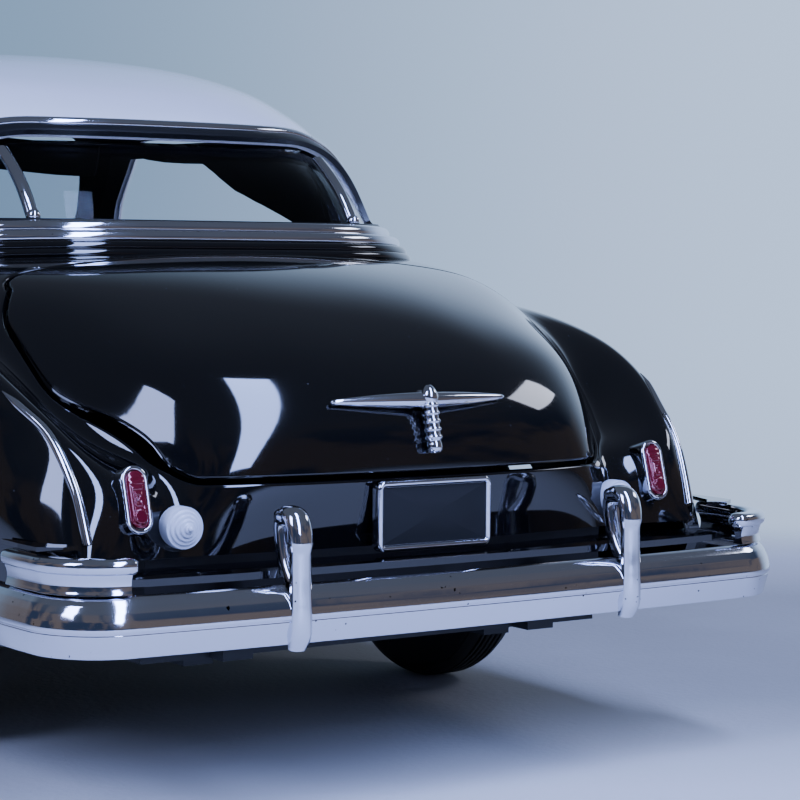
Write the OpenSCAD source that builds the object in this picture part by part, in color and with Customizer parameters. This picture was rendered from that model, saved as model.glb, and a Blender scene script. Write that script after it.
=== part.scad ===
// A 1:18 die-cast model of a two-door hardtop of 1950, seen whole: a hollow body casting with a
// white roof, doors, bonnet and boot lid that open, a plated bumper with guards at each end,
// steered front wheels and a rear axle that rolls.
// X is to the car's right, Y forward and Z up, with the ground at zero.

/* [Overall] */
// Distance between the two axles
wheelbase = 162.3; // [150:0.1:175]
// From the rear axle to the back of the rear guards
rear_overhang = 71; // [64:0.1:78]
// From the front axle to the front of the front guards
front_overhang = 45.4; // [41:0.1:50]
// Width over the rear wings
body_w = 104.2; // [96:0.1:112]
// Height of the body's bottom edge at the doors
sill_h = 15; // [13.5:0.1:16]
// Height of the belt line under the side windows
belt_h = 62; // [58:0.1:66]
// Height of the top of the roof
roof_h = 92; // [88:0.1:97]

/* [Castings] */
// Wall of the lower body casting
body_wall = 1.3; // [1:0.05:1.6]
// Wall of the roof casting
roof_wall = 1.3; // [1:0.05:1.6]
// Thickness of a whole door
door_t = 2.8; // [2.2:0.1:3.2]
// Shut line round doors and lids
shut_gap = 0.6; // [0.5:0.05:0.8]
// Clearance between pieces that are set together
seat_gap = 0.1; // [0.05:0.01:0.2]
// Thickness of the clear windows
glass_t = 0.7; // [0.5:0.05:1]

/* [Wheels] */
// Outer diameter of a tyre
tyre_d = 39.5; // [36:0.1:41]
// Width of a tyre
tyre_w = 9.4; // [8:0.1:10]
// Diameter of the tyre's seat on its rim
rim_d = 22.4; // [20:0.1:24]
// From the widest part of the body in to the middle of a front tyre
front_inset = 12.1; // [11.6:0.1:13.5]
// From the widest part of the body in to the middle of a rear tyre
rear_inset = 9.9; // [9.6:0.1:11.5]
// Diameter of the rear axle and of the front stub axles
axle_d = 2.4; // [2:0.1:2.8]
// Radial running clearance of pins and axles
run_gap = 0.06; // [0.03:0.01:0.09]
// From the middle of a front tyre in to its steering pivot
kingpin_inset = 7; // [6:0.1:8]
// Diameter of a steering pivot
kingpin_d = 2; // [1.6:0.1:2.4]
// Length of the steering arms
steer_arm = 7; // [6:0.1:8]

/* [Hinges] */
// Diameter of the hinge pins of doors and lids
hinge_d = 1.1; // [1:0.05:1.2]
// Depth of the hinge pins below the outer skin
hinge_depth = 2; // [1.9:0.05:2.1]
// Distance from a hinged edge to its pin
hinge_reach = 4.4; // [4.3:0.1:5]

/* [Brightwork] */
// Height of the rear guards' tops
guard_top = 34.3; // [32:0.1:37]
// Width of a bumper guard
guard_w = 2.9; // [2:0.1:3]
// Distance from the middle to each rear guard
guard_x = 23.4; // [20:0.1:28]
// Number plate width
plate_w = 16.2; // [14:0.1:18]
// Number plate height
plate_h = 8.3; // [7:0.1:9]
// Diameter of the white reversing lamps
reverse_d = 4.8; // [4:0.1:5.4]
// Diameter of the headlamp rims
headlamp_d = 12; // [10.5:0.1:12.6]
// Half span of the boot handle's wings
wing_half = 12.6; // [10:0.1:14]

/* [Hidden] */

// The body was drawn for these sizes, and place() stretches it to the sizes above
drawn_wheelbase = 162.3;
drawn_rear_axle = -68.35;
drawn_front_axle = drawn_rear_axle + drawn_wheelbase;
drawn_rear_overhang = 71;
drawn_front_overhang = 45.4;
drawn_w = 104.2;
drawn_sill = 15;
drawn_belt = 62;
drawn_roof = 92;

overall_l = wheelbase + rear_overhang + front_overhang;
rear_y = rear_overhang - overall_l / 2;
front_y = rear_y + wheelbase;
front_track = body_w - 2 * front_inset;
rear_track = body_w - 2 * rear_inset;
kingpin_track = front_track - 2 * kingpin_inset;
tyre_r = tyre_d / 2;
axle_r = axle_d / 2;
hinge_r = hinge_d / 2;
kingpin_r = kingpin_d / 2;

function along(y) = y < drawn_rear_axle
    ? rear_y + (y - drawn_rear_axle) * rear_overhang / drawn_rear_overhang
    : y > drawn_front_axle
    ? front_y + (y - drawn_front_axle) * front_overhang / drawn_front_overhang
    : rear_y + (y - drawn_rear_axle) * wheelbase / drawn_wheelbase;
function across(x) = x * body_w / drawn_w;
function rise(z) = z > drawn_belt
    ? belt_h + (z - drawn_belt) * (roof_h - belt_h) / (drawn_roof - drawn_belt)
    : sill_h + (z - drawn_sill) * (belt_h - sill_h) / (drawn_belt - drawn_sill);
function place(p) = [across(p[0]), along(p[1]), rise(p[2])];

// Lines of the right half of the body, each from the foot of the tail over the top to the nose
centre_line = [[0, -126.6, 28.2], [0, -128, 36.6], [0, -126.6, 43.5], [0, -120.5, 50.2],
    [0, -109, 56.4], [0, -95, 60.6], [0, -80, 62.4], [0, -62, 62.8], [0, -40, 62.8], [0, -18, 62.8],
    [0, 10, 63.4], [0, 45, 64.6], [0, 70, 62.8], [0, 94, 58.6], [0, 110, 54], [0, 121, 48.4],
    [0, 127.5, 41], [0, 130, 26]];
deck_line = [[16, -126, 28.2], [16, -127, 36.6], [16, -125.4, 43.5], [16, -119.3, 50.2],
    [16, -108, 56], [16.5, -94.5, 60.1], [17, -80, 62], [18, -62, 62.6], [19, -40, 62.6],
    [19, -18, 62.6], [19, 10, 63], [19, 45, 64], [18, 70, 61.8], [16, 94, 57.6], [14.5, 110, 53],
    [13.5, 120.5, 47.6], [13, 126.6, 40.6], [13, 129, 26]];
shoulder_line = [[27, -124.9, 28.2], [26.5, -124.6, 36.6], [28, -121.8, 42.5],
    [29.5, -115.5, 48.8], [30.5, -105, 54], [31, -93, 58.5], [31, -80, 61], [32, -62, 62.2],
    [33.5, -40, 62.4], [34, -18, 62.6], [34, 10, 62.6], [32.5, 45, 62.6], [29.5, 70, 59.6],
    [26.5, 94, 55.2], [24.5, 110, 50.6], [23.5, 119.5, 45.6], [23.5, 125.4, 40], [24, 127.8, 26]];
lid_line = [[33.5, -124.4, 28.2], [31.6, -121.2, 36.4], [35.6, -114.5, 39.6],
    [38, -108.5, 43.6], [38.9, -102, 49.4], [38.8, -92, 55.8], [38.8, -80, 59.2],
    [40, -62, 61], [41.4, -40, 61.8], [41.8, -18, 61.6], [41.6, 10, 61.4], [39, 45, 60.6],
    [34.8, 70, 56.2], [31.4, 94, 51.4], [29.2, 110, 47], [28.4, 118.6, 43.4],
    [28.6, 124.2, 39], [29.6, 126.4, 26]];
valley_line = [[37.2, -124.8, 28.2], [36.6, -123.6, 36.2], [39.4, -117, 40.4],
    [41.2, -110, 44], [42.2, -102.5, 48], [42.6, -92, 52.4], [42.8, -80, 56], [43.6, -62, 58.6],
    [44.6, -40, 59.4], [44.9, -18, 59.2], [44.7, 10, 58.8], [42.6, 45, 57.4], [39, 70, 53.8],
    [36, 94, 51.6], [34.6, 110, 49.4], [33.6, 117.4, 47], [33, 122.8, 41], [34, 125.2, 26]];
crown_line = [[40.6, -125.3, 28.2], [40.6, -124, 36.4], [42.6, -119, 41.6],
    [44.4, -111.6, 46.4], [45.4, -103, 50.4], [45.8, -92, 53.6], [46, -80, 55.4],
    [46.6, -62, 56.4], [46.8, -40, 56.2], [46.8, -18, 55.8], [46.6, 10, 55.4], [45.4, 45, 54.8],
    [43, 70, 54.2], [41.2, 94, 53.4], [40, 110, 51.6], [39.2, 118, 48.4], [38.6, 123, 42],
    [38.6, 124, 26]];
ridge_line = [[43.4, -125.6, 28.2], [43.9, -121.8, 37.6], [45, -117, 42.2],
    [47, -110.6, 46.4], [48.2, -102, 50], [49, -91, 52.4], [49.4, -79, 53.4], [49.6, -62, 53.4],
    [49, -40, 52.4], [48.2, -18, 51.6], [48.1, 10, 51.2], [47.8, 45, 51.2], [47, 70, 51.6],
    [46.2, 94, 51], [45.2, 110, 49], [44.2, 117.4, 45.6], [43.4, 121.4, 40],
    [42.6, 122.4, 26]];
widest_line = [[46.2, -123.6, 26.5], [48.2, -118, 33.5], [49.4, -112.6, 37],
    [50.6, -106, 39.4], [51.4, -98.6, 41], [51.8, -89, 42], [52.1, -78, 42], [52.1, -62, 42],
    [51.2, -40, 41], [49.4, -18, 40.5], [49.2, 10, 40.5], [49.2, 45, 40.5], [49.6, 70, 41],
    [49.8, 94, 41], [49, 109, 40], [47.6, 115.6, 38], [46.4, 119, 34.5], [45.4, 120, 25.8]];
side_line = [[46.8, -121.4, 22.5], [49, -115.4, 27.5], [50.2, -109, 29.5], [51, -102, 30.5],
    [51.6, -95, 31], [52, -86, 31.5], [52.1, -76, 31.5], [52, -60, 31], [51.2, -38, 29],
    [49.6, -18, 28], [49.4, 10, 28], [49.4, 45, 28], [49.8, 70, 29], [50, 94, 30],
    [49.2, 108, 29], [48, 114.4, 27.5], [46.8, 117.6, 26], [46, 118.8, 23.5]];
bottom_line = [[46.6, -120, 18.5], [48.4, -114, 18.2], [49.6, -107, 18], [50.2, -100, 18],
    [50.6, -93, 18], [51, -84, 18], [51, -74, 18], [51, -58, 18], [50.2, -38, 16],
    [48.8, -18, 15], [48.6, 10, 15], [48.6, 45, 15], [49, 70, 16], [49.2, 94, 18],
    [48.6, 107, 19], [47.6, 113, 20], [46.6, 116, 21], [45.9, 117.4, 21.5]];
body_lines = [centre_line, deck_line, shoulder_line, lid_line, valley_line, crown_line,
    ridge_line, widest_line, side_line, bottom_line];
last_line = len(body_lines) - 1;

// Rings of the roof from its foot to its crown: front Y, rear Y, half width, heights at the
// front, side and rear, and how square the ring is before and behind its middle
roof_rings = [[51.7, -81.2, 41.45, 61.8, 59.2, 60.4, 2.7, 4], [41, -74, 40.2, 73, 70, 72, 2.7, 3.6],
    [31, -66, 38.4, 81.5, 78.5, 78.8, 2.65, 3.1], [25.5, -60, 36.2, 85.4, 82.8, 82.4, 2.6, 2.85],
    [19, -52, 32, 88.4, 86.8, 85.8, 2.5, 2.65], [9, -40, 24.5, 90.6, 89.9, 89.1, 2.4, 2.45],
    [-2, -26, 12.5, 91.8, 91.6, 91.4, 2.2, 2.2], [-11, -13, 1.2, 92, 92, 92, 2, 2]];
roof_mid = -12;

// A smooth curve through the knots k; t counts the knots
function spline(k, t) = let(
    n = len(k) - 1,
    i = max(0, min(floor(t), n - 1)),
    f = t - i,
    b = k[i],
    c = k[i + 1],
    a = i > 0 ? k[i - 1] : 2 * b - c,
    d = i < n - 1 ? k[i + 2] : 2 * c - b
) 0.5 * (2 * b + (c - a) * f + (2 * a - 5 * b + 4 * c - d) * f * f
    + (3 * b - a - 3 * c + d) * f * f * f);
function flip(p) = [-p[0], p[1], p[2]];
function unit(v) = v / norm(v);

// The ten lines and their mirror images where station t cuts them, from left sill to right sill
function rib(t) = let(half = [for (line = body_lines) place(spline(line, t))])
    concat([for (i = [last_line:-1:1]) flip(half[i])], half);
function body_point(t, v) = spline(rib(t), v);

// Normals of a grid of points, pointing out of the car
function grid_normals(g, ring) = let(nt = len(g), nv = len(g[0])) [for (i = [0:nt - 1])
    [for (j = [0:nv - 1]) let(
        dt = g[min(i + 1, nt - 1)][j] - g[max(i - 1, 0)][j],
        dv = ring ? g[i][(j + 1) % nv] - g[i][(j + nv - 1) % nv]
            : g[i][min(j + 1, nv - 1)] - g[i][max(j - 1, 0)]
    ) unit(cross(dv, dt))]];

// A slab between an outer grid of points and an inner one
module slab(outer, inner) {
    nt = len(outer);
    nv = len(outer[0]);
    m = nt * nv;
    faces = [for (i = [0:nt - 2]) for (j = [0:nv - 2]) let(
            a = i * nv + j, b = a + 1, c = a + nv + 1, d = a + nv
        ) each [[a, d, c], [a, c, b], [m + a, m + b, m + c], [m + a, m + c, m + d]]];
    sides = [for (i = [0:nt - 2]) let(
            a = i * nv, d = a + nv, b = a + nv - 1, c = b + nv
        ) each [[d, a, m + a], [d, m + a, m + d], [b, c, m + c], [b, m + c, m + b]]];
    ends = [for (j = [0:nv - 2]) let(
            a = j, b = j + 1, d = (nt - 1) * nv + j, c = d + 1
        ) each [[a, b, m + b], [a, m + b, m + a], [c, d, m + d], [c, m + d, m + c]]];
    polyhedron(concat([for (row = outer) each row], [for (row = inner) each row]),
        concat(faces, sides, ends), convexity = 8);
}
// A grid moved in by a depth along its normals
function sunk(g, n, depth) = [for (i = [0:len(g) - 1]) [for (j = [0:len(g[0]) - 1])
    g[i][j] - n[i][j] * depth]];
// A sheet over a grid of points, between two depths below it
module sheet(g, from, to) {
    n = grid_normals(g, false);
    slab(sunk(g, n, from), sunk(g, n, to));
}

// A closed tube of rings of points, each ring in the same order, with flat ends
module skin(rings) {
    n = len(rings);
    k = len(rings[0]);
    faces = [for (i = [0:n - 2]) for (j = [0:k - 1]) let(
            a = i * k + j, b = i * k + (j + 1) % k, c = b + k, d = a + k
        ) each [[a, d, c], [a, c, b]]];
    first = [for (j = [0:k - 1]) j];
    last = [for (j = [k - 1:-1:0]) (n - 1) * k + j];
    polyhedron([for (r = rings) each r], concat(faces, [first, last]), convexity = 6);
}

body_steps = [0, 0.5, 1, 1.5, 2, 2.5, 3, 3.5, 4, 5, 5.5, 6, 7, 8, 9, 10, 11, 12, 12.5, 13, 13.5, 14,
    14.5, 15, 15.5, 16, 16.5, 17];
half_steps = [1, 2, 2.5, 3, 3.5, 4, 4.5, 5, 5.5, 6, 6.5, 7, 7.5, 8, 9];
cross_steps = concat([for (i = [len(half_steps) - 1:-1:0]) last_line - half_steps[i]],
    [last_line], [for (v = half_steps) last_line + v]);
function body_grid(ts, vs) = [for (t = ts) let(r = rib(t)) [for (v = vs) spline(r, v)]];
function between(list, low, high) = [for (t = list) if (t >= low && t <= high) t];

module body_sheet(from, to) {
    sheet(body_grid(body_steps, cross_steps), from, to);
}

// Roof surface: ring r counts the rings, a is the angle round the ring
function power(v, e) = sign(v) * pow(abs(v), e);
function roof_point(r, a) = let(
    q = spline(roof_rings, r),
    c = cos(a),
    s = sin(a),
    reach = s > 0 ? q[0] - roof_mid : roof_mid - q[1],
    square = s > 0 ? q[6] : q[7],
    height = q[4] + ((s > 0 ? q[3] : q[5]) - q[4]) * pow(abs(s), 3)
) place([q[2] * power(c, 2 / square), roof_mid + reach * power(s, 2 / square), height]);
roof_angles = [for (a = [0:9:351]) a];
roof_steps = [0, 0.5, 1, 1.5, 2, 2.5, 3, 3.6, 4.3, 5, 5.6, 6.3, 7];
function roof_grid(rs, as) = [for (r = rs) [for (a = as) roof_point(r, a)]];

// A dome over closed rings of points, between two depths below it, open at its foot
module dome(g, from, to) {
    n = grid_normals(g, true);
    nt = len(g);
    nv = len(g[0]);
    m = nt * nv;
    pts = concat([for (i = [0:nt - 1]) for (j = [0:nv - 1]) g[i][j] + n[i][j] * -from],
        [for (i = [0:nt - 1]) for (j = [0:nv - 1]) g[i][j] + n[i][j] * -to]);
    faces = [for (i = [0:nt - 2]) for (j = [0:nv - 1]) let(
            a = i * nv + j, b = i * nv + (j + 1) % nv, c = b + nv, d = a + nv
        ) each [[a, d, c], [a, c, b], [m + a, m + b, m + c], [m + a, m + c, m + d]]];
    foot = [for (j = [0:nv - 1]) let(a = j, b = (j + 1) % nv)
        each [[a, b, m + b], [a, m + b, m + a]]];
    top = [for (j = [nv - 1:-1:0]) (nt - 1) * nv + j];
    under = [for (j = [0:nv - 1]) m + (nt - 1) * nv + j];
    polyhedron(pts, concat(faces, foot, [top, under]), convexity = 8);
}
module roof_sheet(from, to) {
    dome(roof_grid(roof_steps, roof_angles), from, to);
}

// Solids for cutting

// An upright prism whose plan follows the points on both sides, with round posts of radius r,
// grown by extra for the hole and as it is for the panel
module plan_prism(points, low, high, r, extra) {
    for (i = [0:len(points) - 2])
        hull()
            for (p = [points[i], points[i + 1]])
                for (side = [-1, 1])
                    translate([side * (across(p[0]) - r), along(p[1]), low])
                        cylinder(r = r + extra, h = high - low, $fn = 16);
}

post_r = 3;
boot_outline = [[36, -90.8], [38.6, -95], [38.9, -99.1], [38.5, -105], [36.8, -109.2],
    [34.5, -113.5], [31.6, -119], [30.4, -122], [30.2, -126], [30.2, -140]];
boot_low = 36.7;
boot_front_y = along(boot_outline[0][1]) + post_r;
bonnet_outline = [[36, 57], [34.8, 66], [33, 78], [31, 90], [29, 101], [27.2, 110],
    [25.6, 117], [24.4, 122], [23.4, 127], [23.4, 140]];
bonnet_low = 43.4;
bonnet_rear_y = along(bonnet_outline[0][1]) - post_r;

module boot_prism(extra) {
    plan_prism(boot_outline, rise(boot_low) - extra, rise(75), post_r, extra);
}
module bonnet_prism(extra) {
    plan_prism(bonnet_outline, rise(bonnet_low) - extra, rise(75), post_r, extra);
}

// Edges of a door in the side view: height, rear edge and front edge
door_rows = [[20.1, -14.5, 39.5], [22, -16.6, 41], [26, -18.4, 41.5], [32, -19.4, 41.5],
    [38, -19.8, 41.5], [44, -20, 41.5], [50, -20, 41.5], [56, -20, 41.5], [75, -20, 41.5]];
door_corner = 1.5;
door_in = 38.2;
door_front_y = along(41.5) + door_corner;
// The outline of a door, pushed out from x = in past the body's side
module door_prism(side, extra, in) {
    for (i = [0:len(door_rows) - 2])
        hull()
            for (row = [door_rows[i], door_rows[i + 1]])
                for (y = [row[1], row[2]])
                    translate([side * in, along(y), rise(row[0])])
                        rotate([0, side * 90, 0])
                            cylinder(r = door_corner + extra, h = body_w, $fn = 16);
}

// The hole in the top of the body under the roof
module cabin_prism(extra) {
    hull()
        for (p = [[26, 36], [33, 30], [37, 18], [37.6, -40], [34, -54], [24, -66]])
            for (side = [-1, 1])
                translate([side * (across(p[0]) - post_r), along(p[1]), rise(50)])
                    cylinder(r = post_r + extra, h = rise(75) - rise(50), $fn = 16);
}

arch_r = 20.2;
arch_drop = 2;
module arch_prism(y, r) {
    for (side = [-1, 1])
        hull()
            for (z = [tyre_r - arch_drop, 0])
                translate([side * across(40), y, z])
                    rotate([0, side * 90, 0])
                        cylinder(r = r, h = 20, $fn = 48);
}

grille_low = 28;
grille_high = 40.4;
grille_half = 31;
module grille_prism(extra) {
    hull()
        for (side = [-1, 1])
            for (z = [rise(grille_low) + post_r, rise(grille_high) - post_r])
                translate([side * (across(grille_half) - post_r), along(112), z])
                    rotate([-90, 0, 0])
                        cylinder(r = post_r + extra, h = 30, $fn = 16);
}

module body_shell() {
    color("#101114")
        difference() {
            body_sheet(0, body_wall);
            boot_prism(shut_gap);
            bonnet_prism(shut_gap);
            for (side = [-1, 1])
                door_prism(side, shut_gap, across(door_in) - shut_gap);
            cabin_prism(0);
            arch_prism(front_y, arch_r);
            arch_prism(rear_y, arch_r - 1);
            grille_prism(0);
            lamp_holes();
        }
}

// Window openings of the roof, each a prism through its walls whose edges are rows of posts
corner_r = 1.5;
screen_rows = [[66.8, 33.6], [70, 33.2], [74, 32.2], [78, 30.8], [81.8, 28.8]];
module screen_prism() {
    for (i = [0:len(screen_rows) - 2])
        hull()
            for (row = [screen_rows[i], screen_rows[i + 1]])
                for (side = [-1, 1])
                    translate([side * (across(row[1]) - corner_r), along(8), rise(row[0])])
                        rotate([-90, 0, 0])
                            cylinder(r = corner_r, h = 60, $fn = 16);
}
// Rows of height, rear edge and front edge
side_window_rows = [[66, -44, 19], [70, -44.6, 17], [74, -44.4, 13.6], [78, -42.6, 9.6],
    [80.2, -39, 6.4]];
module side_window_prism() {
    for (i = [0:len(side_window_rows) - 2])
        hull()
            for (row = [side_window_rows[i], side_window_rows[i + 1]])
                for (y = [row[1], row[2]])
                    translate([-body_w, along(y), rise(row[0])])
                        rotate([0, 90, 0])
                            cylinder(r = corner_r, h = 2 * body_w, $fn = 16);
}
rear_window_rows = [[67.4, -61.4], [70, -60.6], [73, -60.6], [75.6, -61.4], [76.9, -63.5]];
module rear_window_prism() {
    for (i = [0:len(rear_window_rows) - 2])
        hull()
            for (row = [rear_window_rows[i], rear_window_rows[i + 1]])
                for (y = [row[1], -110])
                    translate([-body_w, along(y), rise(row[0])])
                        rotate([0, 90, 0])
                            cylinder(r = corner_r, h = 2 * body_w, $fn = 16);
}

module roof_shell() {
    color("#e9e9f2")
        difference() {
            roof_sheet(0, roof_wall);
            screen_prism();
            side_window_prism();
            rear_window_prism();
            body_sheet(-seat_gap, 12);
        }
}

// Panels cut from the same surface as the body
module bonnet() {
    color("#101114")
        intersection() {
            body_sheet(0, body_wall);
            bonnet_prism(0);
        }
}
module boot_lid() {
    color("#101114")
        intersection() {
            body_sheet(0, body_wall);
            boot_prism(0);
        }
}
module door(side) {
    color("#101114")
        difference() {
            intersection() {
                sheet(body_grid(between(body_steps, 8, 12),
                    side > 0 ? between(cross_steps, last_line + 2, 2 * last_line)
                        : between(cross_steps, 0, last_line - 2)), 0, door_t);
                door_prism(side, 0, across(door_in));
            }
            cabin_prism(2.4);
        }
}
module door_left() {
    door(-1);
}
module door_right() {
    door(1);
}

// Clear windows, set inside the roof casting, on the roof's own grid, and trimmed to the deck
pane_depth = roof_wall + 3 * seat_gap;
pane_rows = [0, 0.5, 1, 1.5, 2, 2.5];
pane_grid = roof_grid(pane_rows, roof_angles);
pane_normals = grid_normals(pane_grid, true);
// The top of the body round the cabin, to trim what stands on it
module deck_sheet(low, high) {
    sheet(body_grid(between(body_steps, low, high), between(cross_steps, last_line - 6,
        last_line + 6)), -seat_gap, deck_cut);
}
deck_cut = 12;
function pick(g, rows, first, last) = [for (i = rows) [for (j = [first:last]) g[i][j]]];
module pane(rows, first, last, deck_low, deck_high) {
    g = pick(pane_grid, rows, first, last);
    n = pick(pane_normals, rows, first, last);
    difference() {
        slab(sunk(g, n, pane_depth), sunk(g, n, pane_depth + glass_t));
        deck_sheet(deck_low, deck_high);
    }
}
module windscreen() {
    color("#a9b6bd", 0.4)
        pane([0:5], 4, 16, 10, 12.5);
}
module rear_window() {
    color("#a9b6bd", 0.4)
        pane([0:4], 23, 37, 5, 8);
}

// Chassis, cabin and boot

floor_z = 17;
plate_t = 1.6;
plate_half = 33;
plate_ends = [-118, 116];
tub_wall = 1.2;
// The tub and the tray pass between the rear tyres
tyre_clear = 1.5;
tub_half = rear_track / 2 - tyre_w / 2 - tyre_clear;
tub_front = 44;
tub_rear = -60;
tub_high = 50;
// The floor reaches the body's wall at the sills
sill_ends = [-34, 60];
sill_half = across(bottom_line[11][0]) - body_wall - 3 * seat_gap;
runner_x = 22;
runner_w = 4;
runner_t = 2;
runner_ends = [-112, 40];
// Irons that carry the bumpers: upright at the plate's end, then out to the back of the bar
iron_z = 20.5;
iron_t = 2.5;
iron_foot = 2;
rear_iron_y = along(-119.2) - iron_foot;
front_iron_y = along(plate_ends[1]) - iron_foot;
// Notches in the plate for the steered wheels
notch_in = 9;
notch_out = 1;

// Two posts under the plate take the screws of a display plinth
post_y = [60, -95];
post_low = floor_z - plate_t - runner_t;
plate_high = floor_z - seat_gap;
plate_low = plate_high - plate_t;
post_bore_r = 1.6;
// A box between two corners
module block(a, b) {
    translate(a)
        cube(b - a);
}
module chassis_plate() {
    color("#26282b")
        difference() {
            union() {
                block([-across(plate_half), along(plate_ends[0]), plate_low],
                    [across(plate_half), along(plate_ends[1]), plate_high]);
                block([-sill_half, along(sill_ends[0]), plate_low],
                    [sill_half, along(sill_ends[1]), plate_high]);
                for (side = [-1, 1])
                    translate([side * across(runner_x), 0, 0]) {
                        block([-runner_w / 2, along(runner_ends[0]), plate_low - runner_t + seat_gap],
                            [runner_w / 2, along(runner_ends[1]), plate_low + seat_gap]);
                        block([-runner_w / 2, rear_iron_y, plate_low],
                            [runner_w / 2, along(plate_ends[0]) + seat_gap, plate_high]);
                        block([-runner_w / 2, rear_iron_y, plate_low],
                            [runner_w / 2, rear_iron_y + iron_foot, iron_z + iron_t]);
                        block([-runner_w / 2, rear_face_y, iron_z],
                            [runner_w / 2, rear_iron_y + seat_gap, iron_z + iron_t]);
                        block([-runner_w / 2, front_iron_y, plate_low],
                            [runner_w / 2, front_iron_y + iron_foot, iron_z + iron_t]);
                        block([-runner_w / 2, front_iron_y, iron_z],
                            [runner_w / 2, front_face_y, iron_z + iron_t]);
                    }
                for (side = [-1, 1])
                    translate([side * rear_track / 4, rear_y, 0])
                        block([-runner_w / 2, -4, plate_low - runner_t + seat_gap],
                            [runner_w / 2, 4, tyre_r + axle_r + 1.1]);
                for (y = post_y)
                    translate([0, along(y), post_low])
                        cylinder(r = 3.2, h = plate_high - post_low, $fn = 48);
            }
            for (y = post_y)
                translate([0, along(y), post_low - 1])
                    cylinder(r = post_bore_r, h = plate_high - post_low + 2, $fn = 48);
            translate([-body_w, rear_y, tyre_r])
                rotate([0, 90, 0])
                    cylinder(r = axle_r + run_gap, h = 2 * body_w, $fn = 48);
            for (side = [-1, 1])
                translate([side * kingpin_track / 2, front_y, 0])
                    mirror([side < 0 ? 1 : 0, 0, 0])
                        block([-notch_in, -tyre_r - 2, 0], [notch_out, tyre_r + 2, floor_z + 5]);
        }
}

module cabin_tub() {
    color("#3a3330")
        difference() {
            union() {
                block([-tub_half, along(tub_rear), floor_z],
                    [tub_half, along(tub_front), rise(tub_high)]);
                block([-tub_half, along(tub_rear), floor_z],
                    [tub_half, along(tub_rear) + tub_wall, boot_shelf_z - shelf_t]);
            }
            block([-tub_half + tub_wall, along(tub_rear) + tub_wall, floor_z + tub_wall],
                [tub_half - tub_wall, along(tub_front) - tub_wall, belt_h + floor_z]);
        }
}
seat_half = 32;
seat_back_h = 30;
front_seat_y = -8;
rear_seat_y = -53.5;
module bench(y, back_h) {
    translate([-across(seat_half), along(y), floor_z + tub_wall + seat_gap])
        rotate([90, 0, 90])
            linear_extrude(across(2 * seat_half))
                union() {
                    square([24, 9]);
                    translate([0, 2])
                        rotate(8)
                            square([5.5, back_h]);
                }
}
module front_seat() {
    color("#4a4440")
        bench(front_seat_y, seat_back_h);
}
module rear_seat() {
    color("#4a4440")
        bench(rear_seat_y, seat_back_h);
}
dash_y = 34;
dash_z = 46;
module dashboard() {
    color("#17181a")
        difference() {
            block([-tub_half + tub_wall + seat_gap, along(dash_y), rise(dash_z)],
                [tub_half - tub_wall - seat_gap, along(dash_y) + 5, rise(dash_z) + 10]);
            column_place()
                cylinder(r = column_r + seat_gap, h = 60, center = true, $fn = 32);
        }
}
wheel_x = -17;
steering_r = 11.5;
column_r = 1;
column_tilt = 58;
module column_place() {
    translate([across(wheel_x), along(dash_y - 8), rise(52.5)])
        rotate([column_tilt, 0, 0])
            children();
}
module steering_wheel() {
    color("#e5dcc4")
        column_place() {
            rotate_extrude($fn = 48)
                translate([steering_r, 0])
                    circle(r = 0.6, $fn = 16);
            cylinder(r = 2.2, h = 1.6, center = true, $fn = 32);
            for (turn = [0, 120, 240])
                rotate(turn)
                    translate([0, -0.5, -0.4])
                        cube([steering_r, 1, 0.8]);
            translate([0, 0, -14])
                cylinder(r = column_r, h = 14, $fn = 32);
        }
}
bay_half = 24;
bay_rear = 46;
bay_front = 112;
bay_high = 40;
bay_wall = 2;
module engine_bay() {
    color("#1b1c1e")
        difference() {
            union() {
                block([-across(bay_half), along(bay_rear), floor_z],
                    [across(bay_half), along(bay_front), rise(bay_high)]);
                block([-across(bay_half), along(bay_rear), floor_z],
                    [across(bay_half), along(bay_rear) + bay_wall, cowl_shelf_z - shelf_t]);
            }
            block([-across(bay_half) + tub_wall, along(bay_rear) + bay_wall, floor_z + tub_wall],
                [across(bay_half) - tub_wall, along(bay_front) - tub_wall, belt_h + floor_z]);
        }
}
module engine_block() {
    color("#5d6166")
        translate([-6, along(54), floor_z + tub_wall + seat_gap])
            cube([12, 38, 24]);
}
tray_floor = 24.5;
tray_high = 32;
tray_half = tub_half - 3;
tray_rear = -119;
axle_clear = 1;
module boot_tray() {
    color("#2a2a2c")
        difference() {
            block([-tray_half, along(tray_rear), floor_z],
                [tray_half, along(tub_rear) - seat_gap, tray_high]);
            block([-tray_half + tub_wall, along(tray_rear) + tub_wall, tray_floor + tub_wall],
                [tray_half - tub_wall, along(tub_rear) - tub_wall, belt_h]);
            block([-tray_half + tub_wall, along(tray_rear) + tub_wall, 0],
                [tray_half - tub_wall, along(tub_rear) - tub_wall, tray_floor]);
            translate([-body_w, rear_y, tyre_r])
                rotate([0, 90, 0])
                    cylinder(r = axle_r + axle_clear, h = 2 * body_w, $fn = 48);
            block([-body_w, rear_y - axle_r - axle_clear, 0],
                [body_w, rear_y + axle_r + axle_clear, tyre_r]);
        }
}

// Bumpers: a profile carried round a bowed bar with wrapped ends

bumper_half = 49.8;
bumper_corner = 7;
bumper_bow = 1.2;
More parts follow.
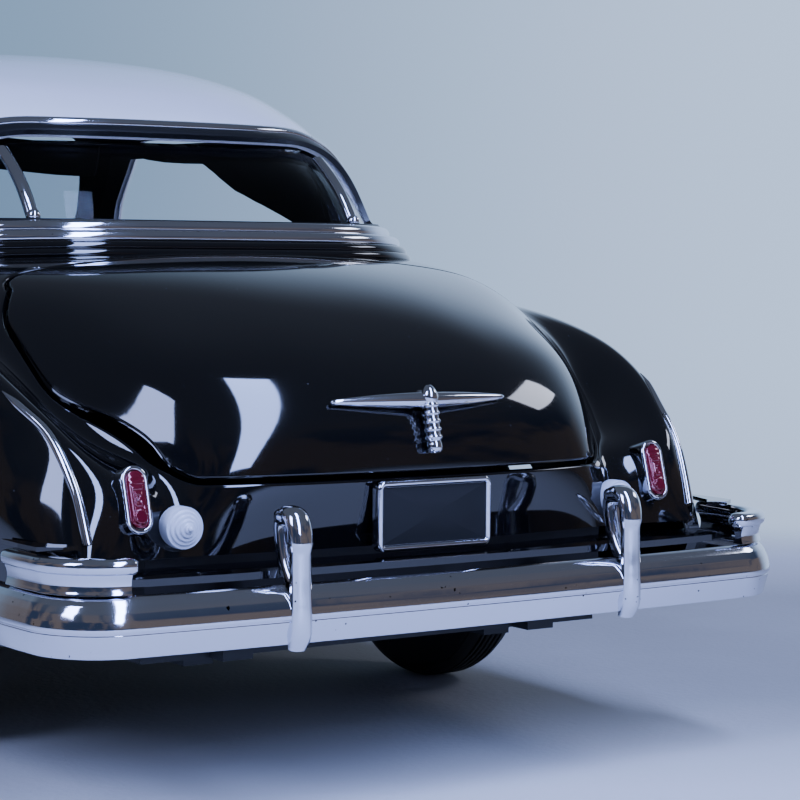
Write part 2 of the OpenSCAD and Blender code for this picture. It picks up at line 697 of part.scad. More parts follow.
// Half of the bar's plan, from the middle out: bowed face, round corner, straight end
function bar_half(end) = concat(
    [for (i = [0:6]) let(x = (bumper_half - bumper_corner) * i / 6)
        [x, bumper_bow * pow(x / (bumper_half - bumper_corner), 2)]],
    [for (a = [15:15:90]) [bumper_half - bumper_corner + bumper_corner * sin(a),
        bumper_bow + bumper_corner * (1 - cos(a))]],
    [[bumper_half + 0.2, bumper_bow + bumper_corner + (end - bumper_corner) * 0.5],
    [bumper_half, bumper_bow + end]]);
function mirrored(half) = concat([for (i = [len(half) - 1:-1:1]) [-half[i][0], half[i][1]]],
    half);
function tangents(path) = let(n = len(path) - 1)
    [for (i = [0:n]) unit(path[min(i + 1, n)] - path[max(i - 1, 0)])];

// Profile points are out from the path and up; the path lies in plan, face towards -Y
module bar(path, profile) {
    t = tangents(path);
    skin([for (i = [len(path) - 1:-1:0]) [for (q = profile)
        [path[i][0] + t[i][1] * q[0], path[i][1] - t[i][0] * q[0], q[1]]]]);
}
bumper_z = 19.4;
// A sloped flange below a crease, and a rounded bar above it
bar_profile = [[0.9, 0], [1.3, 0.05], [1.9, 2.5], [1.8, 2.75], [2.1, 4.1], [1.6, 5.8], [0.8, 6.45],
    [-0.4, 6.6], [-1.1, 6.1], [0.2, 5.8], [0.9, 4], [0.7, 2.9], [0.2, 0.2]];
bumper_h = bar_profile[7][1];
bumper_face = 135.4;
rear_face_y = along(-bumper_face);
front_face_y = along(bumper_face);
rear_wrap = 18;
front_wrap = 20;
module rear_bumper() {
    color("#c9ccd2")
        bar([for (p = mirrored(bar_half(rear_wrap))) [across(p[0]), p[1] + rear_face_y]],
            [for (q = bar_profile) [q[0], q[1] + bumper_z]]);
}
module front_bumper() {
    color("#c9ccd2")
        mirror([0, 1, 0])
            bar([for (p = mirrored(bar_half(front_wrap))) [across(p[0]), p[1] - front_face_y]],
                [for (q = bar_profile) [q[0], q[1] + bumper_z]]);
}
// Side view of a guard: a post on the bar's face, its heavier cap, the arm that rolls forward
// over the top, and the thin leg that comes down behind to the bar
guard_face = 2.16;
guard_rise = 14.9;
guard_side = [[0.4, -0.6], [0.9, 1], [0.9, 10.6], [1.15, 11], [1.1, 13], [0.6, 14.3], [-0.4, 14.9],
    [-1.6, 14.7], [-2.5, 13.6], [-2.9, 11], [-3.4, bumper_h + 0.4], [-3.3, bumper_h + 0.1],
    [-2.5, bumper_h + 0.1], [-2.1, 9.4], [-1.8, 12.2], [-1.3, 13.1], [-0.8, 12.8], [-0.7, 7.2],
    [-0.2, 6], [0, 5], [0, 0.2]];
module guard(x, face) {
    intersection() {
        translate([x - guard_w / 2, face - guard_face, bumper_z])
            rotate([90, 0, 90])
                linear_extrude(guard_w)
                    polygon([for (p = guard_side)
                        [-p[0], p[1] * (guard_top - bumper_z) / guard_rise]]);
        translate([x, face - guard_face - 1.1 + guard_w / 2, bumper_z - 2])
            linear_extrude(guard_top - bumper_z + 4)
                union() {
                    circle(r = guard_w / 2, $fn = 24);
                    translate([-guard_w / 2, 0])
                        square([guard_w, 5]);
                }
    }
}
module rear_guards() {
    color("#c9ccd2")
        for (side = [-1, 1])
            guard(side * guard_x, rear_face_y + bumper_bow * pow(guard_x / bumper_half, 2));
}
module front_guards() {
    color("#c9ccd2")
        for (side = [-1, 1])
            mirror([0, 1, 0])
                guard(side * guard_x, -front_face_y + bumper_bow * pow(guard_x / bumper_half, 2));
}
// Rails over the rear bumper's corners: a rounded cap on a narrow web that stands on the bar
rail_top = 10.6;
rail_profile = [[0.9, bumper_h + 0.05], [0.7, 8.3], [1.3, 8.8], [1.4, 9.8], [0.9, rail_top],
    [-0.9, rail_top], [-1.3, 9.8], [-1.2, 8.8], [-0.5, 8.3], [-0.7, bumper_h + 0.12]];
rail_first = 6;
module rear_end_guards() {
    half = bar_half(rear_wrap - 3);
    first = half[rail_first - 1] + (half[rail_first] - half[rail_first - 1]) * 0.9;
    path = concat([first], [for (i = [rail_first:len(half) - 1]) half[i]]);
    color("#c9ccd2")
        for (side = [-1, 1])
            mirror([side < 0 ? 1 : 0, 0, 0])
                bar([for (p = path) [across(p[0]), p[1] + rear_face_y]],
                    [for (q = rail_profile) [q[0], q[1] + bumper_z]]);
}

// Front end

module grille() {
    color("#c9ccd2") {
        translate([-across(grille_half), along(121.5), rise(30)])
            cube([across(2 * grille_half), 1.4, 2.2]);
        translate([-across(grille_half), along(121.5), rise(35.4)])
            cube([across(2 * grille_half), 1.4, 2.2]);
        for (x = [-24:8:24])
            translate([across(x) - 0.5, along(121.8), rise(28)])
                cube([1, 1, rise(40) - rise(28)]);
    }
}
lamp_x = 39;
lamp_z = 41;
lamp_y = 120.4;
module headlamp_rims() {
    color("#c9ccd2")
        for (side = [-1, 1])
            headlamp_place(side)
                    rotate_extrude($fn = 64)
                        polygon([[headlamp_d / 2 - 1, 0.5], [headlamp_d / 2, 0.5],
                            [headlamp_d / 2, 2.6], [headlamp_d / 2 - 0.3, 3],
                            [headlamp_d / 2 - 1, 3]]);
}
module headlamp_lenses() {
    color("#dfe6ea", 0.7)
        for (side = [-1, 1])
            headlamp_place(side)
                    translate([0, 0, 0.6])
                        cylinder(r = headlamp_d / 2 - 1.05, h = 2, $fn = 64);
}
module parking_lamps() {
    color("#e8e6dd")
        for (side = [-1, 1])
            parking_place(side)
                    cylinder(r = parking_r, h = 2, $fn = 32);
}
module bonnet_ornament() {
    color("#c9ccd2")
        translate([0, along(104), rise(56.6)])
            rotate([-78, 0, 0])
                rotate_extrude($fn = 32)
                    polygon([[0, 0], [1.2, 1], [1.4, 8], [0.6, 12], [0, 12.4]]);
}

// Places of the lamps; each is set in a hole of the body with the seating clearance
module headlamp_place(side) {
    translate(place([side * lamp_x, lamp_y, lamp_z]))
        rotate([-84, 0, 0])
            children();
}
parking_r = 1.8;
module parking_place(side) {
    translate(place([side * 37.5, 122.6, 31]))
        rotate([-90, 0, 0])
            children();
}
pod_lean = 16;
module pod_place(side) {
    translate(place([side * 37.2, -125.1, 35]))
        rotate([90 - pod_lean, 0, 0])
            children();
}
module reverse_place(side) {
    translate(place([side * 31.3, -124.7, 31.5]))
        rotate([90, 0, 0])
            children();
}
// An upright oval with round ends
module oval(w, h) {
    square([w, h - w], center = true);
    for (side = [-1, 1])
        translate([0, side * (h - w) / 2])
            circle(d = w, $fn = 32);
}
pod_w = 3.4;
pod_h = 7.8;
pod_d = 5;
module lamp_holes() {
    for (side = [-1, 1]) {
        headlamp_place(side)
            translate([0, 0, -3])
                cylinder(r = headlamp_d / 2 + seat_gap, h = 14, $fn = 40);
        parking_place(side)
            translate([0, 0, -3])
                cylinder(r = parking_r + seat_gap, h = 10, $fn = 24);
        pod_place(side)
            translate([0, 0, -pod_d - 3])
                linear_extrude(pod_d + 8)
                    oval(pod_w + 2 * seat_gap, pod_h + 2 * seat_gap);
        reverse_place(side)
            translate([0, 0, -5])
                cylinder(r = reverse_d / 2 + seat_gap, h = 12, $fn = 32);
    }
}

// Rear end

// The pan between the body and the bar, and the fillers that reach out to the bar's ends
pan_z = 26.5;
pan_t = 0.8;
pan_outline = [[0, -133.9], [30, -133.6], [40, -132.8], [45.4, -130.6], [46.6, -127.6], [43.6, -126.2],
    [36, -125.2], [28, -125.4], [16, -126.4], [0, -127.2]];
filler_t = 0.5;
filler_outline = [[45, -126.2], [47.4, -127.4], [49.7, -125.6], [49.9, -121.5], [49.7, -117],
    [49.3, -117], [48.4, -119.6], [46.9, -124.2]];
module splash_pan() {
    color("#101114") {
        translate([0, 0, rise(pan_z)])
            linear_extrude(pan_t)
                polygon([for (p = mirrored(pan_outline)) [across(p[0]), along(p[1])]]);
        for (side = [-1, 1])
            translate([0, 0, bumper_z + rail_top + seat_gap])
                linear_extrude(filler_t)
                    polygon([for (p = filler_outline) [side * across(p[0]), along(p[1])]]);
    }
}
plate_r = 1;
plate_d = 1.4;
plate_rim = 0.6;
module plate_outline(inset) {
    offset(r = plate_r - inset)
        square([plate_w - 2 * plate_r, plate_h - 2 * plate_r], center = true);
}
module plate_frame() {
    color("#c9ccd2")
        translate([0, along(-127.97), rise(31.8)])
            rotate([90, 0, 0])
                difference() {
                    linear_extrude(plate_d)
                        plate_outline(0);
                    translate([0, 0, plate_d - 0.4])
                        linear_extrude(1)
                            plate_outline(plate_rim);
                }
}
// The boot handle: a spindle across the lid, and a ringed grip that hangs from its middle
grip_r = 1.05;
grip_ring = 0.95;
grip_rings = 5;
// From the handle's middle to the lid's skin
handle_neck = 1.7;
wing_sweep = 8;
grip_lean = 12;
module boot_handle() {
    color("#c9ccd2")
        translate([0, along(-127.4), rise(45)])
            union() {
                for (side = [-1, 1])
                    rotate([0, 0, side * wing_sweep])
                        rotate([0, side * 90, 0])
                            rotate_extrude($fn = 24)
                                polygon([[0, 0], [1, 0], [0.95, 3], [0.75, 7],
                                    [0.38, wing_half - 0.7], [0.3, wing_half], [0, wing_half]]);
                translate([0, -0.4, 0])
                    rotate([-grip_lean, 0, 0])
                        rotate_extrude($fn = 24)
                            polygon(concat([[0, 1.9], [0.5, 1.7], [1, 1]],
                                [for (i = [0:grip_rings - 1]) each [
                                    [grip_r - 0.2, -0.1 - i * grip_ring],
                                    [grip_r, -0.3 - i * grip_ring],
                                    [grip_r, -0.8 - i * grip_ring]]],
                                [[grip_r - 0.25, -5], [grip_r - 0.15, -5.9], [0.4, -6.3],
                                [0, -6.3]]));
                translate([0, 0, 0.5])
                    rotate([-90, 0, 0])
                        cylinder(r = 0.7, h = handle_neck, $fn = 24);
            }
}
lens_w = 2.2;
lens_h = 6.4;
lens_t = 0.7;
module tail_lamp_pods() {
    color("#c9ccd2")
        for (side = [-1, 1])
            pod_place(side)
                difference() {
                    translate([0, 0, -pod_d])
                        linear_extrude(pod_d)
                            oval(pod_w, pod_h);
                    translate([0, 0, -lens_t])
                        linear_extrude(2)
                            oval(lens_w + 2 * seat_gap, lens_h + 2 * seat_gap);
                }
}
module tail_lenses() {
    color("#a1142e")
        for (side = [-1, 1])
            pod_place(side)
                translate([0, 0, -lens_t])
                    linear_extrude(lens_t + 0.5)
                        oval(lens_w, lens_h);
}
// Stepped rings rise to the middle of a reversing lamp
module reversing_lamps() {
    color("#f1f1f1")
        for (side = [-1, 1])
            reverse_place(side)
                rotate_extrude($fn = 48)
                    polygon(concat([[0, -1.4], [reverse_d / 2, -1.4]],
                        [for (i = [0:4]) each [[reverse_d / 2 * (1 - i / 5), 0.5 + 0.3 * i],
                            [reverse_d / 2 * (0.98 - i / 5), 0.8 + 0.3 * i]]],
                        [[0, 2.1]]));
}
module wing_strips() {
    color("#c9ccd2")
        for (side = [-1, 1])
            skin([for (t = [0.15:0.35:4]) let(r = rib(t), v = side > 0 ? last_line + 6
                    : last_line - 6, p = spline(r, v), u = unit(spline(r, v + 0.1)
                    - spline(r, v - 0.1)), d = unit(spline(rib(t + 0.1), v)
                    - spline(rib(max(t - 0.1, 0)), v)), n = cross(u, d))
                [for (a = [0:45:315]) p + n * (0.5 + 0.45 * cos(a)) + u * 0.6 * sin(a)]]);
}
// The moulding round the foot of the rear window: three ribs over the deck, each point its height
// above the deck and its distance out from the roof
belt_rows = [[0, 0.1], [0, 2.2], [0.7, 2.5], [1.35, 2.1], [1.5, 1.2], [1.8, 1.7], [2.3, 1.6],
    [2.65, 1.2], [2.7, 0.6], [2.85, 1], [3.3, 0.8], [3.5, 0.4], [3.5, 0.1]];
belt_first = 22;
belt_last = 38;
// Height of the deck at the roof's sides and behind it
deck_side = 61.7;
deck_rear = 62.5;
function deck_z(a) = rise(deck_side + (deck_rear - deck_side) * pow(sin(a), 2));
module belt_moulding() {
    color("#c9ccd2")
        skin([for (j = [belt_last:-1:belt_first]) let(
                foot = pane_grid[0][j], over = pane_grid[1][j] - foot
            ) [for (q = belt_rows)
                foot + over * ((deck_z(roof_angles[j]) + q[0] - foot[2]) / over[2])
                    + pane_normals[0][j] * q[1]]]);
}
// Bars that seem to divide the rear glass, each standing on a ball
bar_w = 1.4;
bar_t = 0.9;
bar_column = 33;
// The bar's foot, as a share of the way up between the grid's rows 1 and 2
bar_foot = 0.3;
bar_p = [for (i = [1:3]) pane_grid[i][bar_column]];
bar_n = [for (i = [1:3]) pane_normals[i][bar_column]];
bar_along = unit(bar_p[2] - bar_p[0]);
foot_p = bar_p[0] + (bar_p[1] - bar_p[0]) * bar_foot;
foot_n = unit(bar_n[0] + (bar_n[1] - bar_n[0]) * bar_foot);
module window_bars() {
    color("#c9ccd2")
        for (side = [-1, 1])
            mirror([side < 0 ? 1 : 0, 0, 0])
                union() {
                    skin([for (pn = [[foot_p, foot_n], [bar_p[1], bar_n[1]], [bar_p[2], bar_n[2]]]) let(
                            u = unit(cross(pn[1], bar_along)) * bar_w / 2,
                            low = pn[0] - pn[1] * pane_depth, high = low + pn[1] * bar_t
                        ) [low - u, low + u, high + u * 0.7, high - u * 0.7]]);
                    translate(foot_p - foot_n * (pane_depth - bar_t - seat_gap))
                        sphere(r = bar_t, $fn = 16);
                }
}

// Hinges

door_pin_x = across(49.3) - hinge_depth;
door_pin_y = door_front_y + hinge_reach;
pin_low = [27, 36];
arm_t = 1.1;
arm_rise = 2.2;
arm_h = 1.8;
goose_depth = 4.9;
goose_reach = hinge_reach + 2.6;
module door_hinges(side) {
    color("#6b6e73")
        for (z = pin_low)
            translate([side * door_pin_x, door_pin_y, rise(z)])
                mirror([side < 0 ? 1 : 0, 0, 0]) {
                    cylinder(r = hinge_r - run_gap, h = arm_rise + arm_h, $fn = 32);
                    translate([-goose_depth, -0.45, arm_rise])
                        cube([goose_depth, 0.9, arm_h]);
                    translate([-goose_depth, -goose_reach, arm_rise])
                        cube([arm_t, goose_reach, arm_h]);
                    translate([-goose_depth, -goose_reach, arm_rise])
                        cube([goose_depth + hinge_depth - door_t - seat_gap, arm_t, arm_h]);
                }
}
module door_hinges_left() {
    door_hinges(-1);
}
module door_hinges_right() {
    door_hinges(1);
}
lid_pin_x = 5;
lid_depth = hinge_depth + 0.5;
lid_reach = hinge_reach + 1.3;
boot_pin_z = body_point(5.84, last_line)[2] - lid_depth;
boot_pin_y = boot_front_y + lid_reach;
bonnet_pin_z = body_point(11.13, last_line)[2] - lid_depth;
bonnet_pin_y = bonnet_rear_y - lid_reach;
// Two pins with goose-neck arms that dip under the fixed edge and come up under the lid
module lid_hinge() {
    for (side = [-1, 1])
        translate([side * lid_pin_x, 0, 0]) {
            translate([-3.2, 0, 0])
                rotate([0, 90, 0])
                    cylinder(r = hinge_r - run_gap, h = 6.4, $fn = 32);
            translate([-1, -0.45, -goose_depth])
                cube([2, 0.9, goose_depth]);
            translate([-1, -lid_reach - 2.6, -goose_depth])
                cube([2, lid_reach + 2.6, arm_t]);
            translate([-1, -lid_reach - 2.6, -goose_depth])
                cube([2, arm_t, goose_depth + lid_depth - body_wall - 1.2]);
        }
}
module boot_hinge() {
    color("#6b6e73")
        translate([0, boot_pin_y, boot_pin_z])
            lid_hinge();
}
module bonnet_hinge() {
    color("#6b6e73")
        translate([0, bonnet_pin_y, bonnet_pin_z])
            mirror([0, 1, 0])
                lid_hinge();
}
ear_t = 1.2;
ear_half = 1.1;
ear_head = 0.7;
ear_offset = 2.4;
module lid_ear(x, y, z, foot) {
    difference() {
        translate([x - ear_t / 2, y - ear_half, foot])
            cube([ear_t, 2 * ear_half, z + ear_head - foot]);
        translate([x - ear_t, y, z])
            rotate([0, 90, 0])
                cylinder(r = hinge_r, h = 2 * ear_t, $fn = 32);
    }
}
shelf_t = 1.2;
shelf_clear = 0.8;
cowl_shelf_front = 52;
boot_shelf_z = boot_pin_z - goose_depth - shelf_clear;
cowl_shelf_z = bonnet_pin_z - goose_depth - shelf_clear;
post_x = 38.5;
module hinge_ears() {
    color("#26282b") {
        for (side = [-1, 1]) {
            lid_ear(side * (lid_pin_x + ear_offset), boot_pin_y, boot_pin_z,
                boot_shelf_z - seat_gap);
            lid_ear(side * (lid_pin_x + ear_offset), bonnet_pin_y, bonnet_pin_z,
                cowl_shelf_z - seat_gap);
            for (z = pin_low)
                difference() {
                    translate([side > 0 ? across(post_x) : -door_pin_x - 0.35,
                            door_pin_y - ear_half, rise(z) + 0.1])
                        cube([door_pin_x + 0.35 - across(post_x), 2 * ear_half, arm_rise - 0.2]);
                    translate([side * door_pin_x, door_pin_y, rise(z) - 1])
                        cylinder(r = hinge_r, h = 4, $fn = 32);
                }
            translate([side > 0 ? across(post_x) : -across(post_x) - 2,
                    door_pin_y - ear_half, floor_z])
                cube([2, 2 * ear_half, rise(42) - floor_z]);
        }
        block([-tub_half, boot_pin_y - ear_half, boot_shelf_z - shelf_t],
            [tub_half, along(tub_rear) + tub_wall, boot_shelf_z]);
        block([-across(bay_half), along(bay_rear), cowl_shelf_z - shelf_t],
            [across(bay_half), along(cowl_shelf_front), cowl_shelf_z]);
    }
}

// Running gear

lug_r = 1.9;
beam_w = 5;
beam_t = 2;
upper_low = tyre_r + 4;
module front_beam() {
    color("#3b3d40")
        difference() {
            union() {
                translate([-kingpin_track / 2 - lug_r, front_y - beam_w / 2, plate_low - beam_t])
                    cube([kingpin_track + 2 * lug_r, beam_w, beam_t]);
                for (side = [-1, 1])
                    translate([side * (kingpin_track / 2 - 6.4) - 1, front_y - beam_w / 2,
                            plate_low - 1])
                        cube([2, beam_w, upper_low + beam_t - plate_low + 1]);
                for (side = [-1, 1])
                    translate([side > 0 ? kingpin_track / 2 - 7.4 : -kingpin_track / 2 - lug_r,
                            front_y - beam_w / 2, upper_low])
                        cube([7.4 + lug_r, beam_w, beam_t]);
            }
            for (side = [-1, 1])
                translate([side * kingpin_track / 2, front_y, 0])
                    cylinder(r = kingpin_r + run_gap, h = tyre_d, $fn = 48);
        }
}
arm_low = plate_low + 0.3;
link_t = 1.2;
link_low = plate_low - 0.2 - link_t;
link_pin_r = 0.6;
module knuckle(side) {
    color("#55585c") {
        translate([side * kingpin_track / 2, front_y, plate_low - beam_t + 0.2])
            cylinder(r = kingpin_r, h = upper_low + 2 * beam_t - plate_low - 0.4, $fn = 48);
        translate([side * kingpin_track / 2, front_y, plate_low + seat_gap])
            cylinder(r = lug_r, h = upper_low - plate_low - 2 * seat_gap, $fn = 48);
        translate([side * kingpin_track / 2, front_y, tyre_r])
            rotate([0, side * 90, 0])
                cylinder(r = axle_r, h = (front_track - kingpin_track) / 2 + 3.4, $fn = 48);
        translate([side * kingpin_track / 2 - 0.9, front_y - steer_arm - 1, arm_low])
            cube([1.8, steer_arm + 1, link_t]);
        translate([side * kingpin_track / 2, front_y - steer_arm, link_low - 0.2])
            cylinder(r = link_pin_r, h = arm_low + 0.3 - link_low, $fn = 32);
    }
}
module knuckle_left() {
    knuckle(-1);
}
module knuckle_right() {
    knuckle(1);
}
// The track rod is slotted fore and aft, because the arms' ends swing in arcs
module tie_rod() {
    color("#6b6e73")
        difference() {
            translate([-kingpin_track / 2 - 1.6, front_y - steer_arm - 1.6, link_low])
                cube([kingpin_track + 3.2, 3.2, link_t]);
            for (side = [-1, 1])
                translate([side * kingpin_track / 2 - link_pin_r - run_gap,
                        front_y - steer_arm - 0.9, 0])
                    cube([2 * (link_pin_r + run_gap), 1.9, tyre_d]);
        }
}
module rear_axle() {
    color("#8a8d91")
        translate([-rear_track / 2, rear_y, tyre_r])
            rotate([0, 90, 0])
                cylinder(r = axle_r, h = rear_track, $fn = 48);
}
rim_r = rim_d / 2;
module tyre(x, y) {
    color("#141414")
        translate([x - tyre_w / 2, y, tyre_r])
            rotate([0, 90, 0])
                rotate_extrude($fn = 96)
                    translate([0, tyre_w])
                        mirror([0, 1])
                            polygon([[rim_r, 1.4], [rim_r + 1, 0.6], [rim_r + 3.4, 0.1],
                                [rim_r + 5.8, 0.3], [tyre_r - 1.2, 0.9], [tyre_r - 0.3, 1.9],
                                [tyre_r, 3], [tyre_r, tyre_w - 3], [tyre_r - 0.3, tyre_w - 1.9],
                                [tyre_r - 1.2, tyre_w - 0.9], [rim_r + 5.8, tyre_w - 0.3],
                                [rim_r + 3.4, tyre_w - 0.1], [rim_r + 1, tyre_w - 0.6],
                                [rim_r, tyre_w - 1.4]]);
}
module tyre_front_left() {
    tyre(-front_track / 2, front_y);
}
module tyre_front_right() {
    tyre(front_track / 2, front_y);
}
module tyres_rear() {
    for (side = [-1, 1])
        tyre(side * rear_track / 2, rear_y);
}
// A pressed wheel with its domed cap, dished towards the car, and a bore for its axle
module wheel(side, y, track, bore) {
    color("#c9ccd2")
        translate([side * track / 2, y, tyre_r])
            rotate([0, side * 90, 0])
                rotate_extrude($fn = 96)
                    polygon([[bore, -2], [3, -2], [3, 0.6], [rim_r - 1.4, 1.2],
                        [rim_r - 1.4, -3], [rim_r, -3.2], [rim_r, 3.1], [rim_r - 1, 2.8],
                        [rim_r - 2.4, 2.4], [7, 3.4], [5, 4.4], [2.6, 5], [0, 5.2], [0, 3.5],
                        [bore, 3.5]]);
}
wheel_bore = axle_r + run_gap;
module wheel_front_left() {
    wheel(-1, front_y, front_track, wheel_bore);
}
module wheel_front_right() {
    wheel(1, front_y, front_track, wheel_bore);
}
module wheels_rear() {
    for (side = [-1, 1])
        wheel(side, rear_y, rear_track, axle_r);
}

body_shell();
roof_shell();
bonnet();
boot_lid();
door_left();
door_right();
windscreen();
rear_window();
chassis_plate();
cabin_tub();
front_seat();
rear_seat();
dashboard();
steering_wheel();
engine_bay();
engine_block();
boot_tray();
rear_bumper();
rear_guards();
rear_end_guards();
front_bumper();
front_guards();
grille();
headlamp_rims();
headlamp_lenses();
parking_lamps();
bonnet_ornament();
splash_pan();
plate_frame();
boot_handle();
tail_lamp_pods();
tail_lenses();
reversing_lamps();
wing_strips();
belt_moulding();
window_bars();
door_hinges_left();
door_hinges_right();
bonnet_hinge();
boot_hinge();
hinge_ears();
front_beam();
knuckle_left();
knuckle_right();
tie_rod();
rear_axle();
tyre_front_left();
tyre_front_right();
tyres_rear();
wheel_front_left();
wheel_front_right();
wheels_rear();
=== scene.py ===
"""A 1:18 display model of a two-door hardtop of 1950: gloss black enamel, a white roof, plated trim.

Lengths are millimetres until a mesh is made. X is to the car's right, Y forward, Z up.
"""

import math

import bmesh
import bpy
import numpy as np
from mathutils import Matrix


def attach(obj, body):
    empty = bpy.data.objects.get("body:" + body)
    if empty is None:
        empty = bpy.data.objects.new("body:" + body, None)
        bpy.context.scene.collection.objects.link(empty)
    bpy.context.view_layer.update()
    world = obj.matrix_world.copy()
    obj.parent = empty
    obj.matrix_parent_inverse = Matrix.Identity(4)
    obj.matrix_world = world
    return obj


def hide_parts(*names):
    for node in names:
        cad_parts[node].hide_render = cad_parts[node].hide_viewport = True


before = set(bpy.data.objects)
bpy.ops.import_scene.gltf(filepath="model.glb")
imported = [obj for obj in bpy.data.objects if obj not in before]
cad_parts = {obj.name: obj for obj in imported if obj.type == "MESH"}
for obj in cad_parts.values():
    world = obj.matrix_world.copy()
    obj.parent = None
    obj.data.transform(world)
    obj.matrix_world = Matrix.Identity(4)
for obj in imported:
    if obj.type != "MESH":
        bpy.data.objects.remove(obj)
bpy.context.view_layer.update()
MM = 0.001
UPWARD = np.array([0.0, 0.0, 1.0])

# Camera


def put(thing, right, up, back, at):
    """Puts a camera or a lamp at a place in mm, turned by its three directions."""
    turn = np.eye(4)
    turn[:3] = np.stack([right, up, back, np.asarray(at) * MM], axis=1)
    bpy.context.collection.objects.link(thing)
    thing.matrix_world = Matrix(turn.tolist())


# Fitted to the photograph: place in mm, angles in degrees and lens in mm on a sensor of 36 mm
CAMERA_AT = np.array([-161.34, -355.60, 62.19])
CAMERA_YAW, CAMERA_PITCH, CAMERA_ROLL = 34.59, 3.52, 0.49
CAMERA_LENS = 107.33


def place_camera():
    """Aims the camera by its yaw from +Y towards +X, its pitch down and its roll."""
    yaw, pitch, roll = np.radians([CAMERA_YAW, CAMERA_PITCH, CAMERA_ROLL])
    ahead = np.array([math.sin(yaw) * math.cos(pitch), math.cos(yaw) * math.cos(pitch), -math.sin(pitch)])
    right = np.array([math.cos(yaw), -math.sin(yaw), 0.0])
    up = np.cross(right, ahead)
    data = bpy.data.cameras.new("camera")
    data.lens = CAMERA_LENS
    data.sensor_width = 36
    data.clip_start = 0.01
    camera = bpy.data.objects.new("camera", data)
    rolled_right = math.cos(roll) * right + math.sin(roll) * up
    rolled_up = math.cos(roll) * up - math.sin(roll) * right
    put(camera, rolled_right, rolled_up, -ahead, CAMERA_AT)
    bpy.context.scene.camera = camera


place_camera()

# Materials


def linear(code):
    """Linear light of an sRGB hex colour, with an alpha of one."""
    v = np.array([int(code[i : i + 2], 16) for i in (1, 3, 5)]) / 255
    v = np.where(v <= 0.04045, v / 12.92, ((v + 0.055) / 1.055) ** 2.4)
    return (*v.tolist(), 1.0)


def node(tree, kind, inputs=None, **settings):
    """Adds a node, sets its properties or input values, and links or sets the inputs listed."""
    n = tree.nodes.new(kind)
    for key, value in settings.items():
        if hasattr(n, key):
            setattr(n, key, value)
        else:
            n.inputs[key.replace("_", " ")].default_value = value
    for key, source in (inputs or {}).items():
        if isinstance(source, bpy.types.NodeSocket):
            tree.links.new(source, n.inputs[key])
        else:
            n.inputs[key].default_value = source
    return n


def finish(name, colour, **surface):
    """A material with one Principled surface; returns the material, its tree and that surface."""
    m = bpy.data.materials.new(name)
    m.use_nodes = True
    tree = m.node_tree
    shader = tree.nodes["Principled BSDF"]
    shader.inputs["Base Color"].default_value = linear(colour)
    for key, value in surface.items():
        shader.inputs[key.replace("_", " ")].default_value = value
    return m, tree, shader


def speckle(tree, size, threshold):
    """Scattered dots: noise of the given grain in mm, cut off above a threshold."""
    place = node(tree, "ShaderNodeTexCoord").outputs["Object"]
    grain = node(tree, "ShaderNodeTexNoise", {"Vector": place}, Scale=1000 / size, Detail=2.0)
    dots = node(tree, "ShaderNodeMapRange", {"Value": grain.outputs["Fac"]}, From_Min=threshold,
                From_Max=threshold + 0.02)
    return dots.outputs["Result"]


def ripple(tree, shader, size, depth, detail=2.0):
    """A bump of noise with waves of the given size in mm and depth in mm."""
    place = node(tree, "ShaderNodeTexCoord").outputs["Object"]
    waves = node(tree, "ShaderNodeTexNoise", {"Vector": place}, Scale=1000 / size, Detail=detail)
    bump = node(tree, "ShaderNodeBump", {"Height": waves.outputs["Fac"]}, Strength=1.0, Distance=depth * MM)
    tree.links.new(bump.outputs["Normal"], shader.inputs["Normal"])


def coloured(tree, shader, share, first, second):
    """Gives a surface its first colour where the share is nought and its second where it is one."""
    mix = node(tree, "ShaderNodeMix", {"Factor": share, "A": first, "B": second}, data_type="RGBA")
    tree.links.new(mix.outputs["Result"], shader.inputs["Base Color"])


def enamel(name, colour, dust, dust_share):
    """Sprayed gloss enamel: a clear wet shine, a faint orange peel and a few specks of dust."""
    m, tree, shader = finish(name, colour, Roughness=0.08, IOR=1.5, Coat_Weight=0.6, Coat_Roughness=0.03)
    ripple(tree, shader, 2.5, 0.004)
    specks = speckle(tree, 0.55, dust_share)
    coloured(tree, shader, specks, linear(colour), linear(dust))
    rough = node(tree, "ShaderNodeMapRange", {"Value": specks}, To_Min=0.06, To_Max=0.5)
    tree.links.new(rough.outputs["Result"], shader.inputs["Roughness"])
    return m


def plating():
    """Vacuum plating on moulded plastic: mirror bright, wavy underneath, with dark pin marks and a haze
    in patches of about 6 mm."""
    m, tree, shader = finish("vacuum_plated_plastic", "#dfe1ea", Metallic=1.0, Roughness=0.06)
    ripple(tree, shader, 3.5, 0.02)
    coloured(tree, shader, speckle(tree, 0.8, 0.735), linear("#dfe1ea"), linear("#2c2426"))
    place = node(tree, "ShaderNodeTexCoord").outputs["Object"]
    haze = node(tree, "ShaderNodeTexNoise", {"Vector": place}, Scale=180.0, Detail=4.0)
    rough = node(tree, "ShaderNodeMapRange", {"Value": haze.outputs["Fac"]}, To_Min=0.04, To_Max=0.12)
    tree.links.new(rough.outputs["Result"], shader.inputs["Roughness"])
    return m


def moulded(name, colour, rough, grain, depth, second):
    """Moulded plastic: one colour that clouds into a second over about 11 mm, and a fine grain left by
    the mould, with its size and depth in mm."""
    m, tree, shader = finish(name, colour, Roughness=rough)
    ripple(tree, shader, grain, depth, detail=4.0)
    place = node(tree, "ShaderNodeTexCoord").outputs["Object"]
    cloud = node(tree, "ShaderNodeTexNoise", {"Vector": place}, Scale=90.0, Detail=3.0)
    coloured(tree, shader, cloud.outputs["Fac"], linear(colour), linear(second))
    return m


# Deep black that mirrors the lamps in long shines, with pale dust
BLACK = enamel("black_gloss_enamel", "#060608", "#3a3c42", 0.78)
